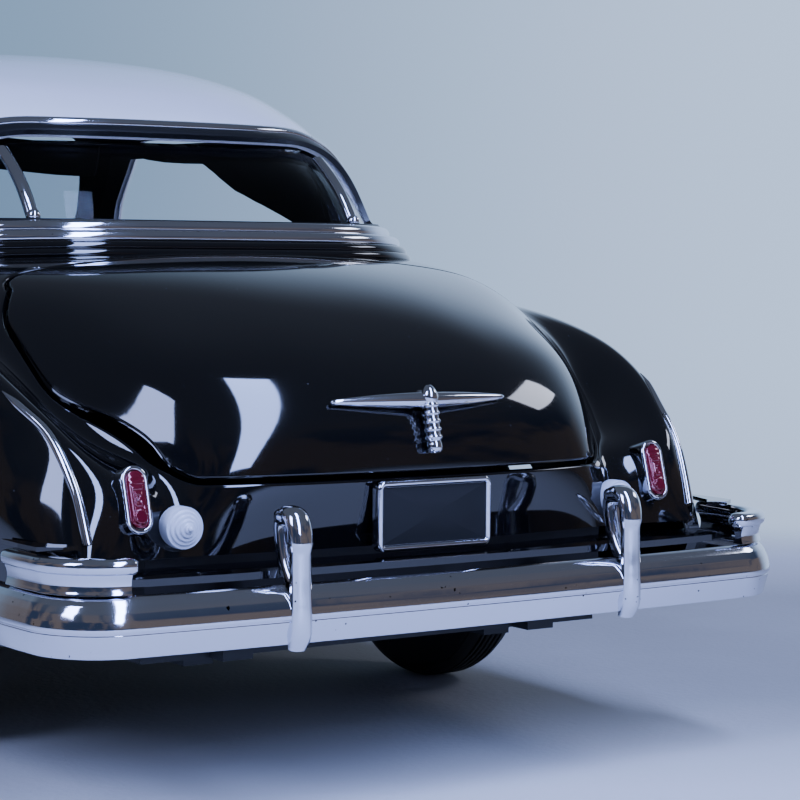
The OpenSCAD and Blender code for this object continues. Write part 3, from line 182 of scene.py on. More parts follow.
# The same gloss in white, which shows as a soft, even face with grey dust
WHITE = enamel("white_gloss_enamel", "#f1f1f6", "#9a9aa8", 0.8)
CHROME = plating()
# Satin black for the seal round the rear window, which is painted reflection: its black stands where the plated
# reveal mirrors the dark room. A broad dull shine beside the mirror of the plating
SEAL_BLACK_PAINTED_REFLECTION = moulded("satin_black_plastic", "#08080a", 0.35, 0.5, 0.006, "#101013")
# Flat and dark, so that the cabin falls away behind the glass
LINING = moulded("charcoal_interior_plastic", "#131214", 0.7, 0.5, 0.02, "#1d1a1c")
# Coarser grain and a warm dark brown, which sets the seats off from the lining
SEAT = moulded("dark_seat_vinyl_plastic", "#26211f", 0.55, 0.8, 0.03, "#332c29")
# Smooth and pale with a small shine, the one light thing in the cabin
CREAM = moulded("cream_moulded_plastic", "#d9cfae", 0.3, 0.4, 0.004, "#cfc39f")
# Dull black and grey with a visible grain, for what is under the car and the bonnet
CHASSIS = moulded("black_chassis_plastic", "#141517", 0.55, 0.7, 0.015, "#1d1f21")
ENGINE = moulded("grey_engine_plastic", "#565a60", 0.5, 0.7, 0.015, "#43464b")
# Bare metal with soft shines, for hinges and axles
STEEL = finish("drawn_steel_wire", "#8f9298", Metallic=1.0, Roughness=0.28)[0]
# Opaque white with a small shine, as lamps without bulbs look
LAMP_WHITE = moulded("white_lamp_plastic", "#dfe2ee", 0.25, 0.5, 0.003, "#d3d7e6")


def rubber():
    """Moulded tyre rubber: matt, with a fine grain."""
    m, tree, shader = finish("moulded_tyre_rubber", "#0f0f10", Roughness=0.62)
    ripple(tree, shader, 0.5, 0.015, detail=5.0)
    return m


def red_lens():
    """Clear red plastic over plating, which gives it pink glints."""
    m, tree, shader = finish("clear_red_plastic", "#780d2b", Roughness=0.12, Metallic=0.45, Coat_Weight=1.0,
                             Coat_Roughness=0.03)
    ripple(tree, shader, 0.7, 0.02)
    return m


def clear(name, tint, rough=0.0, ior=1.46):
    """Clear moulded plastic; a low index stands for a thin pane, which hardly bends the view."""
    return finish(name, tint, Roughness=rough, IOR=ior, Transmission_Weight=1.0)[0]


TYRE = rubber()
RED = red_lens()
CLEAR = clear("clear_window_plastic", "#eef1f4", ior=1.12)

# Meshes


def add_mesh(name, points, faces, material, body, normals=None, slot=None, replaces=()):
    """A piece from points in mm and faces of three or four points, riding on a body."""
    mesh = bpy.data.meshes.new(name)
    points = np.asarray(points, dtype=np.float64) * MM
    faces = np.asarray(faces, dtype=np.int32)
    sides = faces.shape[1]
    mesh.vertices.add(len(points))
    mesh.vertices.foreach_set("co", points.astype(np.float32).ravel())
    mesh.loops.add(faces.size)
    mesh.loops.foreach_set("vertex_index", faces.ravel())
    mesh.polygons.add(len(faces))
    mesh.polygons.foreach_set("loop_start", np.arange(len(faces), dtype=np.int32) * sides)
    mesh.polygons.foreach_set("use_smooth", np.ones(len(faces), dtype=bool))
    mesh.update(calc_edges=True)
    mesh.validate()
    if normals is not None:
        mesh.normals_split_custom_set_from_vertices(np.asarray(normals, dtype=np.float32))
    mesh.materials.append(material)
    piece = bpy.data.objects.new(name, mesh)
    bpy.context.collection.objects.link(piece)
    if body:
        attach(piece, body)
    if replaces:
        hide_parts(*replaces)
    return piece


def unit(v):
    """Vectors over their lengths."""
    return v / np.maximum(np.linalg.norm(v, axis=-1, keepdims=True), 1e-12)


def grid_faces(rows, columns, wrap_rows=False, wrap_columns=False):
    """Quads of a grid of points counted row by row."""
    r = np.arange(rows if wrap_rows else rows - 1)[:, None]
    c = np.arange(columns if wrap_columns else columns - 1)[None, :]
    r2, c2 = (r + 1) % rows, (c + 1) % columns
    quads = np.stack([r * columns + c, r * columns + c2, r2 * columns + c2, r2 * columns + c], axis=-1)
    return quads.reshape(-1, 4)


def halved(quads):
    """Two triangles for each quad."""
    return np.concatenate([quads[:, [0, 1, 2]], quads[:, [0, 2, 3]]])


def lengths(path):
    """The length along a path up to each of its points."""
    return np.concatenate([[0], np.cumsum(np.linalg.norm(np.diff(path, axis=0), axis=1))])


def join_parts(parts):
    """Joins lists of (points, faces) into one."""
    points, faces, count = [], [], 0
    for p, f in parts:
        p = np.asarray(p).reshape(-1, 3)
        points.append(p)
        faces.append(np.asarray(f) + count)
        count += len(p)
    return np.concatenate(points), np.concatenate(faces)


def catmull(knots, t):
    """A curve through the knots: each span is the cubic that starts and ends along the line between
    the knots beside it."""
    k = np.asarray(knots, dtype=float)
    t = np.asarray(t, dtype=float)
    i = np.clip(np.floor(t).astype(int), 0, len(k) - 2)
    k = np.concatenate([2 * k[:1] - k[1:2], k, 2 * k[-1:] - k[-2:-1]])
    f = (t - i).reshape(t.shape + (1,) * (k.ndim - 1))
    a, b, c, d = k[i], k[i + 1], k[i + 2], k[i + 3]
    return 0.5 * (2 * b + (c - a) * f + (2 * a - 5 * b + 4 * c - d) * f**2 + (3 * b - a - 3 * c + d) * f**3)


def smooth_path(knots, count):
    """Points at even steps of length along the curve through the knots."""
    fine = catmull(knots, np.linspace(0, len(knots) - 1, 40 * len(knots)))
    run = lengths(fine)
    at = np.linspace(0, run[-1], count)
    return np.stack([np.interp(at, run, fine[:, j]) for j in range(fine.shape[1])], axis=1)


def tangents(path, closed=False):
    """Unit directions along a path."""
    if closed:
        return unit(np.roll(path, -1, axis=0) - np.roll(path, 1, axis=0))
    return unit(np.gradient(path, axis=0))


def capped(grid):
    """Points and triangles of a grid whose columns go round, with a fan over each of its ends."""
    rows, columns = grid.shape[:2]
    last = (rows - 1) * columns
    ring = np.arange(columns)
    nxt = (ring + 1) % columns
    start = np.stack([np.full(columns, rows * columns), nxt, ring], axis=1)
    end = np.stack([np.full(columns, rows * columns + 1), last + ring, last + nxt], axis=1)
    points = np.concatenate([grid.reshape(-1, 3), [grid[0].mean(axis=0), grid[-1].mean(axis=0)]])
    return points, np.concatenate([halved(grid_faces(rows, columns, False, True)), start, end])


def sweep(path, side, up, profile, closed=False, scale=1.0):
    """Carries a closed profile of (side, up) offsets along a path and closes its ends; the scale can
    change along the path."""
    s = np.broadcast_to(scale, len(path))[:, None, None]
    side, up = (np.broadcast_to(v, path.shape)[:, None] for v in (side, up))
    profile = np.asarray(profile, dtype=float)[None]
    grid = path[:, None] + side * (profile[..., :1] * s) + up * (profile[..., 1:] * s)
    if closed:
        return grid.reshape(-1, 3), halved(grid_faces(*grid.shape[:2], True, True))
    return capped(grid)


def revolve(profile, centre, axis, count=48):
    """Turns a profile of (radius, distance along the axis) about an axis through the centre."""
    axis = unit(np.asarray(axis, dtype=float))
    other = np.array([0.0, 0.0, 1.0]) if abs(axis[2]) < 0.9 else np.array([1.0, 0.0, 0.0])
    u = unit(np.cross(other, axis))
    v = np.cross(axis, u)
    a = np.linspace(0, 2 * math.pi, count, endpoint=False)
    p = np.asarray(profile, dtype=float)
    around = np.cos(a)[:, None] * u + np.sin(a)[:, None] * v
    grid = np.asarray(centre) + around[None] * p[:, 0, None, None] + axis * p[:, 1, None, None]
    return grid.reshape(-1, 3), halved(grid_faces(len(p), count, False, True))


def round_corners(points, radius, steps=6):
    """A polygon with each corner rounded: a parabola that starts and ends the radius away from it, or
    just under half a side away where that is less."""
    p = np.asarray(points, dtype=float)
    before, after = np.roll(p, 1, axis=0) - p, np.roll(p, -1, axis=0) - p
    shorter = np.minimum(np.linalg.norm(before, axis=1), np.linalg.norm(after, axis=1))
    reach = np.minimum(radius, 0.48 * shorter)[:, None, None]
    s = np.linspace(0, 1, steps)[None, :, None]
    curve = p[:, None] + unit(before)[:, None] * reach * (1 - s) ** 2 + unit(after)[:, None] * reach * s**2
    return curve.reshape(-1, p.shape[1])


def slab(sheet, near, far, side=1):
    """A thin slab of a sheet's form between two depths below it, with its edges closed; side -1 mirrors
    it to the left."""
    rows, columns = sheet.points.shape[:2]
    n = rows * columns
    index = np.arange(n).reshape(rows, columns)
    ring = np.concatenate([index[0, :-1], index[:-1, -1], index[-1, :0:-1], index[:0:-1, 0]])
    nxt = np.roll(ring, -1)
    quads = grid_faces(rows, columns)
    faces = np.concatenate([quads, quads[:, ::-1] + n, np.stack([ring, ring + n, nxt + n, nxt], axis=1)])
    points = [(sheet.points - sheet.normal * d).reshape(-1, 3) * [side, 1, 1] for d in (near, far)]
    return np.concatenate(points), faces


def solid(name, parts, material, body, slot, replaces=(), crease=35):
    """One piece made of closed forms: its doubled points are merged, its faces turned outwards and its
    edges kept sharp past an angle."""
    piece = add_mesh(name, *join_parts(parts), material, body, None, slot, replaces)
    bm = bmesh.new()
    bm.from_mesh(piece.data)
    bmesh.ops.remove_doubles(bm, verts=bm.verts, dist=1e-6)
    bmesh.ops.recalc_face_normals(bm, faces=bm.faces)
    bm.to_mesh(piece.data)
    bm.free()
    piece.data.set_sharp_from_angle(angle=math.radians(crease))


# Body surface

REAR_AXLE, FRONT_AXLE, TYRE_R = -68.35, 93.95, 19.75
REAR_ARCH_R, FRONT_ARCH_R = 19.2, 20.2
BODY_WALL, DOOR_WALL, PANEL_EDGE_R, SHUT = 1.3, 2.8, 0.35, 0.6
# The value of a field wherever its opening can't be, and of one that only tells left from right
FAR_OUTSIDE, FAR_INSIDE = -50.0, 30.0
# How far the doors' upper edge stays outside the hole over the cabin
DOOR_TO_CABIN = 2.4

# The body's lines from its middle out to the sill, each with its knots from tail to nose
BODY_LINES = np.array([
    [[0, -126.6, 28.2], [0, -128, 36.6], [0, -126.6, 43.5], [0, -120.5, 50.2], [0, -109, 56.4],
     [0, -95, 60.6], [0, -80, 62.4], [0, -62, 62.8], [0, -40, 62.8], [0, -18, 62.8], [0, 10, 63.4],
     [0, 45, 64.6], [0, 70, 62.8], [0, 94, 58.6], [0, 110, 54], [0, 121, 48.4], [0, 127.5, 41],
     [0, 130, 26]],
    [[16, -126, 28.2], [16, -127, 36.6], [16, -125.4, 43.5], [16, -119.3, 50.2], [16, -108, 56],
     [16.5, -94.5, 60.1], [17, -80, 62], [18, -62, 62.6], [19, -40, 62.6], [19, -18, 62.6], [19, 10, 63],
     [19, 45, 64], [18, 70, 61.8], [16, 94, 57.6], [14.5, 110, 53], [13.5, 120.5, 47.6], [13, 126.6, 40.6],
     [13, 129, 26]],
    [[27, -124.9, 28.2], [26.5, -124.6, 36.6], [28, -121.8, 42.5], [29.5, -115.5, 48.8], [30.5, -105, 54],
     [31, -93, 58.5], [31, -80, 61], [32, -62, 62.2], [33.5, -40, 62.4], [34, -18, 62.6], [34, 10, 62.6],
     [32.5, 45, 62.6], [29.5, 70, 59.6], [26.5, 94, 55.2], [24.5, 110, 50.6], [23.5, 119.5, 45.6],
     [23.5, 125.4, 40], [24, 127.8, 26]],
    [[33.5, -124.4, 28.2], [31.6, -121.2, 36.4], [35.6, -114.5, 39.6], [38, -108.5, 43.6],
     [38.9, -102, 49.4], [38.8, -92, 55.8], [38.8, -80, 59.2], [40, -62, 61], [41.4, -40, 61.8],
     [41.8, -18, 61.6], [41.6, 10, 61.4], [39, 45, 60.6], [34.8, 70, 56.2], [31.4, 94, 51.4],
     [29.2, 110, 47], [28.4, 118.6, 43.4], [28.6, 124.2, 39], [29.6, 126.4, 26]],
    [[37.2, -124.8, 28.2], [36.6, -123.6, 36.2], [39.4, -117, 40.4], [41.2, -110, 44], [42.2, -102.5, 48],
     [42.6, -92, 52.4], [42.8, -80, 56], [43.6, -62, 58.6], [44.6, -40, 59.4], [44.9, -18, 59.2],
     [44.7, 10, 58.8], [42.6, 45, 57.4], [39, 70, 53.8], [36, 94, 51.6], [34.6, 110, 49.4],
     [33.6, 117.4, 47], [33, 122.8, 41], [34, 125.2, 26]],
    [[40.6, -125.3, 28.2], [40.6, -124, 36.4], [42.6, -119, 41.6], [44.4, -111.6, 46.4],
     [45.4, -103, 50.4], [45.8, -92, 53.6], [46, -80, 55.4], [46.6, -62, 56.4], [46.8, -40, 56.2],
     [46.8, -18, 55.8], [46.6, 10, 55.4], [45.4, 45, 54.8], [43, 70, 54.2], [41.2, 94, 53.4],
     [40, 110, 51.6], [39.2, 118, 48.4], [38.6, 123, 42], [38.6, 124, 26]],
    [[43.4, -125.6, 28.2], [43.9, -121.8, 37.6], [45, -117, 42.2], [47, -110.6, 46.4], [48.2, -102, 50],
     [49, -91, 52.4], [49.4, -79, 53.4], [49.6, -62, 53.4], [49, -40, 52.4], [48.2, -18, 51.6],
     [48.1, 10, 51.2], [47.8, 45, 51.2], [47, 70, 51.6], [46.2, 94, 51], [45.2, 110, 49],
     [44.2, 117.4, 45.6], [43.4, 121.4, 40], [42.6, 122.4, 26]],
    [[46.2, -123.6, 26.5], [48.2, -118, 33.5], [49.4, -112.6, 37], [50.6, -106, 39.4], [51.4, -98.6, 41],
     [51.8, -89, 42], [52.1, -78, 42], [52.1, -62, 42], [51.2, -40, 41], [49.4, -18, 40.5],
     [49.2, 10, 40.5], [49.2, 45, 40.5], [49.6, 70, 41], [49.8, 94, 41], [49, 109, 40], [47.6, 115.6, 38],
     [46.4, 119, 34.5], [45.4, 120, 25.8]],
    [[46.8, -121.4, 22.5], [49, -115.4, 27.5], [50.2, -109, 29.5], [51, -102, 30.5], [51.6, -95, 31],
     [52, -86, 31.5], [52.1, -76, 31.5], [52, -60, 31], [51.2, -38, 29], [49.6, -18, 28], [49.4, 10, 28],
     [49.4, 45, 28], [49.8, 70, 29], [50, 94, 30], [49.2, 108, 29], [48, 114.4, 27.5], [46.8, 117.6, 26],
     [46, 118.8, 23.5]],
    [[46.6, -120, 18.5], [48.4, -114, 18.2], [49.6, -107, 18], [50.2, -100, 18], [50.6, -93, 18],
     [51, -84, 18], [51, -74, 18], [51, -58, 18], [50.2, -38, 16], [48.8, -18, 15], [48.6, 10, 15],
     [48.6, 45, 15], [49, 70, 16], [49.2, 94, 18], [48.6, 107, 19], [47.6, 113, 20], [46.6, 116, 21],
     [45.9, 117.4, 21.5]],
], dtype=float)
# The same from the left sill over the top to the right sill, as a row of lines for each knot
BODY_NET = np.concatenate([BODY_LINES[:0:-1] * [-1, 1, 1], BODY_LINES]).transpose(1, 0, 2)


def even_steps(curve, spacing):
    """Places along a curve's parameter where equal lengths of it begin; spacing is (parameter, mm)."""
    fine = np.linspace(0, len(curve) - 1, 60 * len(curve))
    points = catmull(curve, fine)
    step = np.linalg.norm(np.diff(points, axis=0), axis=1)
    wanted = np.interp(0.5 * (fine[1:] + fine[:-1]), [s[0] for s in spacing], [s[1] for s in spacing])
    run = np.concatenate([[0], np.cumsum(step / wanted)])
    return np.interp(np.linspace(0, run[-1], int(run[-1]) + 1), run, fine)


def eased(grid, axis, width):
    """A grid smoothed along one axis by a bell curve of so many steps, its ends left in place."""
    reach = int(3 * width)
    weight = np.exp(-0.5 * (np.arange(-reach, reach + 1) / width) ** 2)
    pad = [(0, 0)] * grid.ndim
    pad[axis] = (reach, reach)
    wide = np.pad(grid, pad, mode="reflect", reflect_type="odd")
    n = grid.shape[axis]
    return sum(w * np.take(wide, np.arange(i, i + n), axis=axis) for i, w in enumerate(weight / weight.sum()))


class Sheet:
    """A grid of surface points with unit normals out of the car and fields that cut it."""

    def __init__(self, points, outward):
        self.points = points
        along = np.gradient(points, axis=0)
        across = np.gradient(points, axis=1)
        normal = unit(np.cross(along, across))
        if (normal * outward).sum() < 0:
            normal = -normal
        self.normal, self.along, self.across = normal, along, across

    def measured(self, field):
        """A field over its slope along the surface, so that near zero it counts real millimetres,
        and the direction along the surface in which it grows."""
        fa, fc = np.gradient(field, axis=0), np.gradient(field, axis=1)
        e = (self.along**2).sum(-1)
        f = (self.along * self.across).sum(-1)
        g = (self.across**2).sum(-1)
        det = np.maximum(e * g - f * f, 1e-9)
        slope = ((g * fa - f * fc) / det)[..., None] * self.along
        slope = slope + ((e * fc - f * fa) / det)[..., None] * self.across
        steep = np.linalg.norm(slope, axis=-1)
        return field / np.maximum(steep, 0.2), slope / np.maximum(steep, 1e-9)[..., None]

    def least(self, fields):
        """The smallest of several measured fields, with its direction."""
        pairs = [self.measured(f) for f in fields]
        values = np.stack([p[0] for p in pairs])
        which = values.argmin(axis=0)
        ways = np.stack([p[1] for p in pairs])
        return values.min(axis=0), np.take_along_axis(ways, which[None, ..., None], axis=0)[0]


def body_sheet(along_mm=0.8, across_mm=1.0, ease=1.6):
    """The body's outer skin: curves through the body lines both ways, eased over that many mm so that
    shines run on. Its steps are finest at the tail."""
    t = even_steps(BODY_LINES[2], [(0, along_mm), (7, along_mm), (8, 2.2 * along_mm), (12, 2.2 * along_mm),
                                   (13, 1.5 * along_mm), (17, 1.5 * along_mm)])
    v = even_steps(BODY_NET[5], [(0, 2 * across_mm), (2, across_mm), (16, across_mm), (18, 2 * across_mm)])
    ribs = catmull(BODY_NET, t)
    grid = catmull(ribs.transpose(1, 0, 2), v).transpose(1, 0, 2)
    return Sheet(eased(eased(grid, 0, ease / along_mm), 1, ease / across_mm), UPWARD)


def polygon_field(x, y, polygon):
    """Distance to a closed polygon in plan, positive inside it."""
    a = np.asarray(polygon, dtype=float)
    b = np.roll(a, -1, axis=0)
    p = np.stack([x.ravel(), y.ravel()], axis=1)[:, None]
    ab, ap = (b - a)[None], p - a[None]
    share = np.clip((ap * ab).sum(-1) / (ab**2).sum(-1), 0, 1)
    near = np.sqrt(((ap - share[..., None] * ab) ** 2).sum(-1).min(axis=1))
    crosses = (a[None, :, 1] > p[..., 1]) != (b[None, :, 1] > p[..., 1])
    rise = np.where(ab[..., 1] == 0, 1e-9, ab[..., 1])
    at = a[None, :, 0] + (p[..., 1] - a[None, :, 1]) / rise * ab[..., 0]
    inside = (crosses & (p[..., 0] < at)).sum(axis=1) % 2 == 1
    return np.where(inside, near, -near).reshape(x.shape)


def both(a, b, r=0.0):
    """Inside both fields, with the corner between them rounded by r."""
    if r <= 0:
        return np.minimum(a, b)
    return np.maximum(r, np.minimum(a, b)) - np.hypot(np.maximum(r - a, 0), np.maximum(r - b, 0))


def twin_outline(half, corner=3):
    """A plan outline, the same on both sides, from the edge's points on the right. Its first corner is
    a parabola that reaches so far inwards and beyond the first point."""
    right = smooth_path(half, 60)
    x, y = right[0]
    beyond = y + corner * np.sign(y - right[-1][1])
    s = np.linspace(0, 1, 9)[:, None]
    turn = np.array([x - corner, beyond]) * (1 - s) ** 2 + 2 * s * (1 - s) * [x, beyond] + right[0] * s**2
    side = np.concatenate([turn, right[1:]])
    return np.concatenate([side, side[::-1] * [-1, 1]])


BOOT_EDGE = [[36, -90.8], [38.6, -95], [38.9, -99.1], [38.5, -105], [36.8, -109.2], [34.5, -113.5],
             [31.6, -119], [30.4, -122], [30.2, -126], [30.2, -140]]
BONNET_EDGE = [[36, 57], [34.8, 66], [33, 78], [31, 90], [29, 101], [27.2, 110], [25.6, 117], [24.4, 122],
               [23.4, 127], [23.4, 140]]
DOOR_ROWS = [[20.1, -14.5, 39.5], [22, -16.6, 41], [26, -18.4, 41.5], [32, -19.4, 41.5], [38, -19.8, 41.5],
             [44, -20, 41.5], [50, -20, 41.5], [56, -20, 41.5], [75, -20, 41.5]]
CABIN_HOLE = [[26, 36], [33, 30], [37, 18], [37.6, -40], [34, -54], [24, -66]]
GRILLE_BOX = [[-31, 28], [31, 28], [31, 40.4], [-31, 40.4]]
BOOT_LIP_Z, BONNET_LIP_Z, DOOR_INNER_X, ARCH_INNER_X, GRILLE_Y = 36.7, 43.4, 38.2, 38, 110


def boot_field(p):
    """Inside the boot lid: its outline in plan, above the height of its lower edge."""
    return both(polygon_field(p[..., 0], p[..., 1], twin_outline(BOOT_EDGE)), p[..., 2] - BOOT_LIP_Z, 2.0)


def bonnet_field(p):
    """Inside the bonnet: its outline in plan, above the height of its front edge."""
    return both(polygon_field(p[..., 0], p[..., 1], twin_outline(BONNET_EDGE)), p[..., 2] - BONNET_LIP_Z, 2.0)


def door_field(p):
    """Inside either door: rows of its height and its rear and front ends, outside the cabin."""
    rows = np.array(DOOR_ROWS)
    outline = np.concatenate([rows[:, [1, 0]], rows[::-1, [2, 0]]])
    return both(1.5 + polygon_field(p[..., 1], p[..., 2], outline), np.abs(p[..., 0]) - DOOR_INNER_X)


def cabin_field(p):
    """Inside the hole over the cabin, which the roof covers."""
    half = np.array(CABIN_HOLE)
    outline = np.concatenate([half, half[::-1] * [-1, 1]])
    return polygon_field(p[..., 0], p[..., 1], round_corners(outline, 4))


def arch_field(p, y, radius):
    """Inside a wheel arch: a circle that runs straight down below its middle."""
    up = np.maximum(p[..., 2] - (TYRE_R - 2), 0)
    return np.where(np.abs(p[..., 0]) > ARCH_INNER_X, radius - np.hypot(p[..., 1] - y, up), FAR_OUTSIDE)


def grille_field(p):
    """Inside the grille's opening, a box with rounded corners seen from ahead."""
    box = polygon_field(p[..., 0], p[..., 2], round_corners(GRILLE_BOX, 3))
    return np.where(p[..., 1] > GRILLE_Y, box, FAR_OUTSIDE)


def own_side(x, side):
    """Inside one half of the car: the right one for side 1 and the left one for side -1."""
    return np.where(x * side > 0, FAR_INSIDE, -FAR_INSIDE)


def lamp_field(p, centre, axis, radius):
    """Inside a round hole bored along an axis, within 15 mm of its middle."""
    d = p - np.asarray(centre)
    axis = unit(np.asarray(axis, dtype=float))
    along = (d * axis).sum(-1)
    off = np.linalg.norm(d - along[..., None] * axis, axis=-1)
    return np.where(np.abs(along) < 15, radius - off, FAR_OUTSIDE)


HEADLAMP, HEADLAMP_HOLE_R, HEADLAMP_GLASS_R = np.array([39, 120.4, 41.0]), 6.1, 4.93
HEADLAMP_AXIS = np.array([0, math.cos(math.radians(6)), math.sin(math.radians(6))])


def crossed(data, faces):
    """For each triangle, its direction with a length of twice its area."""
    a, b, c = (data[faces[:, i], :3] for i in range(3))
    return np.cross(b - a, c - a)


def clipped(data, faces, column, level, keep_both=False):
    """Cuts a mesh of triangles along the line where one column of its point data has a value, and
    keeps the part above it, or both parts with the line as an edge between them."""
    value = data[:, column] - level
    inside = value > 0
    count = inside[faces].sum(axis=1)
    mixed = faces[(count == 1) | (count == 2)]
    flags = inside[mixed]
    lone_inside = flags.sum(axis=1) == 1
    # Each cut triangle starts at its point that is alone on its side of the line
    lone = np.where(lone_inside[:, None], flags, ~flags).argmax(axis=1)
    order = (lone[:, None] + np.arange(3)) % 3
    tri = np.take_along_axis(mixed, order, axis=1)
    edges = np.concatenate([tri[:, [0, 1]], tri[:, [0, 2]]])
    key = np.sort(edges, axis=1)
    unique, index = np.unique(key, axis=0, return_inverse=True)
    index = index.ravel()
    a, b = unique[:, 0], unique[:, 1]
    share = (value[a] / np.where(value[a] == value[b], 1e-9, value[a] - value[b]))[:, None]
    fresh = data[a] * (1 - share) + data[b] * share
    fresh[:, column] = level
    base = len(data)
    ab, ac = base + index[: len(tri)], base + index[len(tri) :]
    tip = np.stack([tri[:, 0], ab, ac], axis=1)
    wide = np.concatenate([np.stack([ab, tri[:, 1], tri[:, 2]], axis=1), np.stack([ab, tri[:, 2], ac], axis=1)])
    parts = [faces[count == 3]]
    if keep_both:
        parts += [faces[count == 0], tip, wide]
    else:
        parts += [tip[lone_inside], wide[~np.tile(lone_inside, 2)]]
    faces = np.concatenate(parts)
    data = np.concatenate([data, fresh])
    faces = faces[np.linalg.norm(crossed(data, faces), axis=1) > 1e-7]
    used, packed = np.unique(faces, return_inverse=True)
    return data[used], packed.reshape(-1, 3)


def rims(faces):
    """The directed edges that only one triangle has."""
    edges = np.concatenate([faces[:, [0, 1]], faces[:, [1, 2]], faces[:, [2, 0]]])
    key = np.sort(edges, axis=1)
    _, index, count = np.unique(key, axis=0, return_inverse=True, return_counts=True)
    return edges[count[index.ravel()] == 1]


# Columns of the point data that a panel is cut with: place, normal, field, and the way it grows
NORMAL, FIELD, WAY = slice(3, 6), 6, slice(7, 10)


def triangles(data):
    """Triangles over a grid of point data, turned the way of its normals."""
    faces = halved(grid_faces(*data.shape[:2]))
    flat = data.reshape(-1, data.shape[-1])
    if (crossed(flat, faces) * flat[faces[:, 0], NORMAL]).sum() < 0:
        faces = faces[:, ::-1]
    return flat, faces


def shell(sheet, fields, wall, lip, inner_step=3):
    """Cuts a sheet by its fields, rolls each cut edge over by a quarter round of radius lip, and adds
    the wall's edge and a coarser inner face. Returns points, triangles, normals and how many of the
    triangles, at the end, are the inner face's."""
    value, way = sheet.least(fields)
    rows, columns = value.shape
    data = np.concatenate([sheet.points, sheet.normal, value[..., None], way], axis=-1)

    outer, outer_faces = clipped(*triangles(data), FIELD, 0.0)
    for share in (0.12, 0.35, 0.65, 1.0):
        outer, outer_faces = clipped(outer, outer_faces, FIELD, lip * share, keep_both=True)
    tilt = 1 - np.clip(outer[:, FIELD] / lip, 0, 1)
    rise = np.sqrt(np.maximum(1 - tilt**2, 0))[:, None]
    normal = unit(outer[:, NORMAL])
    toward = unit(outer[:, WAY] - (outer[:, WAY] * normal).sum(1, keepdims=True) * normal)
    points = outer[:, :3] - normal * lip * (1 - rise)
    shaded = unit(normal * rise - toward * tilt[:, None])

    edge = rims(outer_faces)
    ends = np.unique(edge)
    n = len(ends)
    place = np.zeros(len(points), dtype=int)
    place[ends] = np.arange(n)
    e0, e1 = place[edge[:, 0]], place[edge[:, 1]]
    face_way = -unit(np.cross(normal[edge[:, 0]], points[edge[:, 1]] - points[edge[:, 0]]))
    wall_way = np.zeros((n, 3))
    np.add.at(wall_way, e0, face_way)
    np.add.at(wall_way, e1, face_way)
    wall_way = unit(wall_way)
    wall_faces = np.concatenate([np.stack([e1, e0, e0 + n], axis=1), np.stack([e1, e0 + n, e1 + n], axis=1)])

    pick_r = np.unique(np.append(np.arange(0, rows, inner_step), rows - 1))
    pick_c = np.unique(np.append(np.arange(0, columns, inner_step), columns - 1))
    inner, inner_faces = clipped(*triangles(data[np.ix_(pick_r, pick_c)]), FIELD, 0.0)
    inward = -unit(inner[:, NORMAL])
    far_edge, far_face = outer[ends, :3] - normal[ends] * wall, inner[:, :3] + inward * wall
    return (
        np.concatenate([points, points[ends], far_edge, far_face]),
        np.concatenate([outer_faces, wall_faces + len(points), inner_faces[:, ::-1] + len(points) + 2 * n]),
        np.concatenate([shaded, wall_way, wall_way, inward]),
        len(inner_faces),
    )


def panel(name, sheet, fields, wall, lip, material, body, slot, replaces, lining=None):
    """A panel from a sheet; its inner face may have a finish of its own."""
    points, faces, normals, inner = shell(sheet, fields, wall, lip)
    piece = add_mesh(name, points, faces, material, body, normals, slot, replaces)
    if lining:
        piece.data.materials.append(lining)
        which = np.zeros(len(faces), dtype=np.int32)
        which[len(faces) - inner :] = 1
        piece.data.polygons.foreach_set("material_index", which)


skin = body_sheet()
P = skin.points
boot_f, bonnet_f, door_f, cabin_f = boot_field(P), bonnet_field(P), door_field(P), cabin_field(P)
holes = [-boot_f - SHUT, -bonnet_f - SHUT, -door_f - SHUT, -cabin_f,
         -arch_field(P, REAR_AXLE, REAR_ARCH_R), -arch_field(P, FRONT_AXLE, FRONT_ARCH_R), -grille_field(P)]
holes += [-lamp_field(P, HEADLAMP * [s, 1, 1], HEADLAMP_AXIS, HEADLAMP_HOLE_R) for s in (-1, 1)]
panel("body_skin", skin, holes, BODY_WALL, PANEL_EDGE_R, BLACK, "body", "paint", ["body_shell"])
panel("boot_lid_skin", skin, [boot_f], BODY_WALL, PANEL_EDGE_R, BLACK, "boot", "paint", ["boot_lid"])
panel("bonnet_skin", skin, [bonnet_f], BODY_WALL, PANEL_EDGE_R, BLACK, "bonnet_lid", "paint", ["bonnet"])
for side, label in ((-1, "left"), (1, "right")):
    own = both(door_f, own_side(P[..., 0], side))
    panel(f"door_{label}_skin", skin, [own, -cabin_f - DOOR_TO_CABIN], DOOR_WALL, PANEL_EDGE_R, BLACK,
          f"{label}_door", "paint", [f"door_{label}"])

# Roof

ROOF_WALL, ROOF_EDGE_R, GLASS_GAP, GLASS_WALL = 1.3, 0.3, 0.3, 0.7
ROOF_MID = -12.0
# Rings from the roof's foot to its crown: front Y, rear Y, half width, heights at the front, side and
# rear, and how square the ring is before and behind its middle
ROOF_RINGS = np.array([
    [51.7, -81.2, 41.45, 61.8, 59.2, 60.4, 2.7, 4], [41, -74, 40.2, 73, 70, 72, 2.7, 3.6],
    [31, -66, 38.4, 81.5, 78.5, 78.8, 2.65, 3.1], [25.5, -60, 36.2, 85.4, 82.8, 82.4, 2.6, 2.85],
    [19, -52, 32, 88.4, 86.8, 85.8, 2.5, 2.65], [9, -40, 24.5, 90.6, 89.9, 89.1, 2.4, 2.45],
    [-2, -26, 12.5, 91.8, 91.6, 91.4, 2.2, 2.2], [-11, -13, 1.2, 92, 92, 92, 2, 2]])


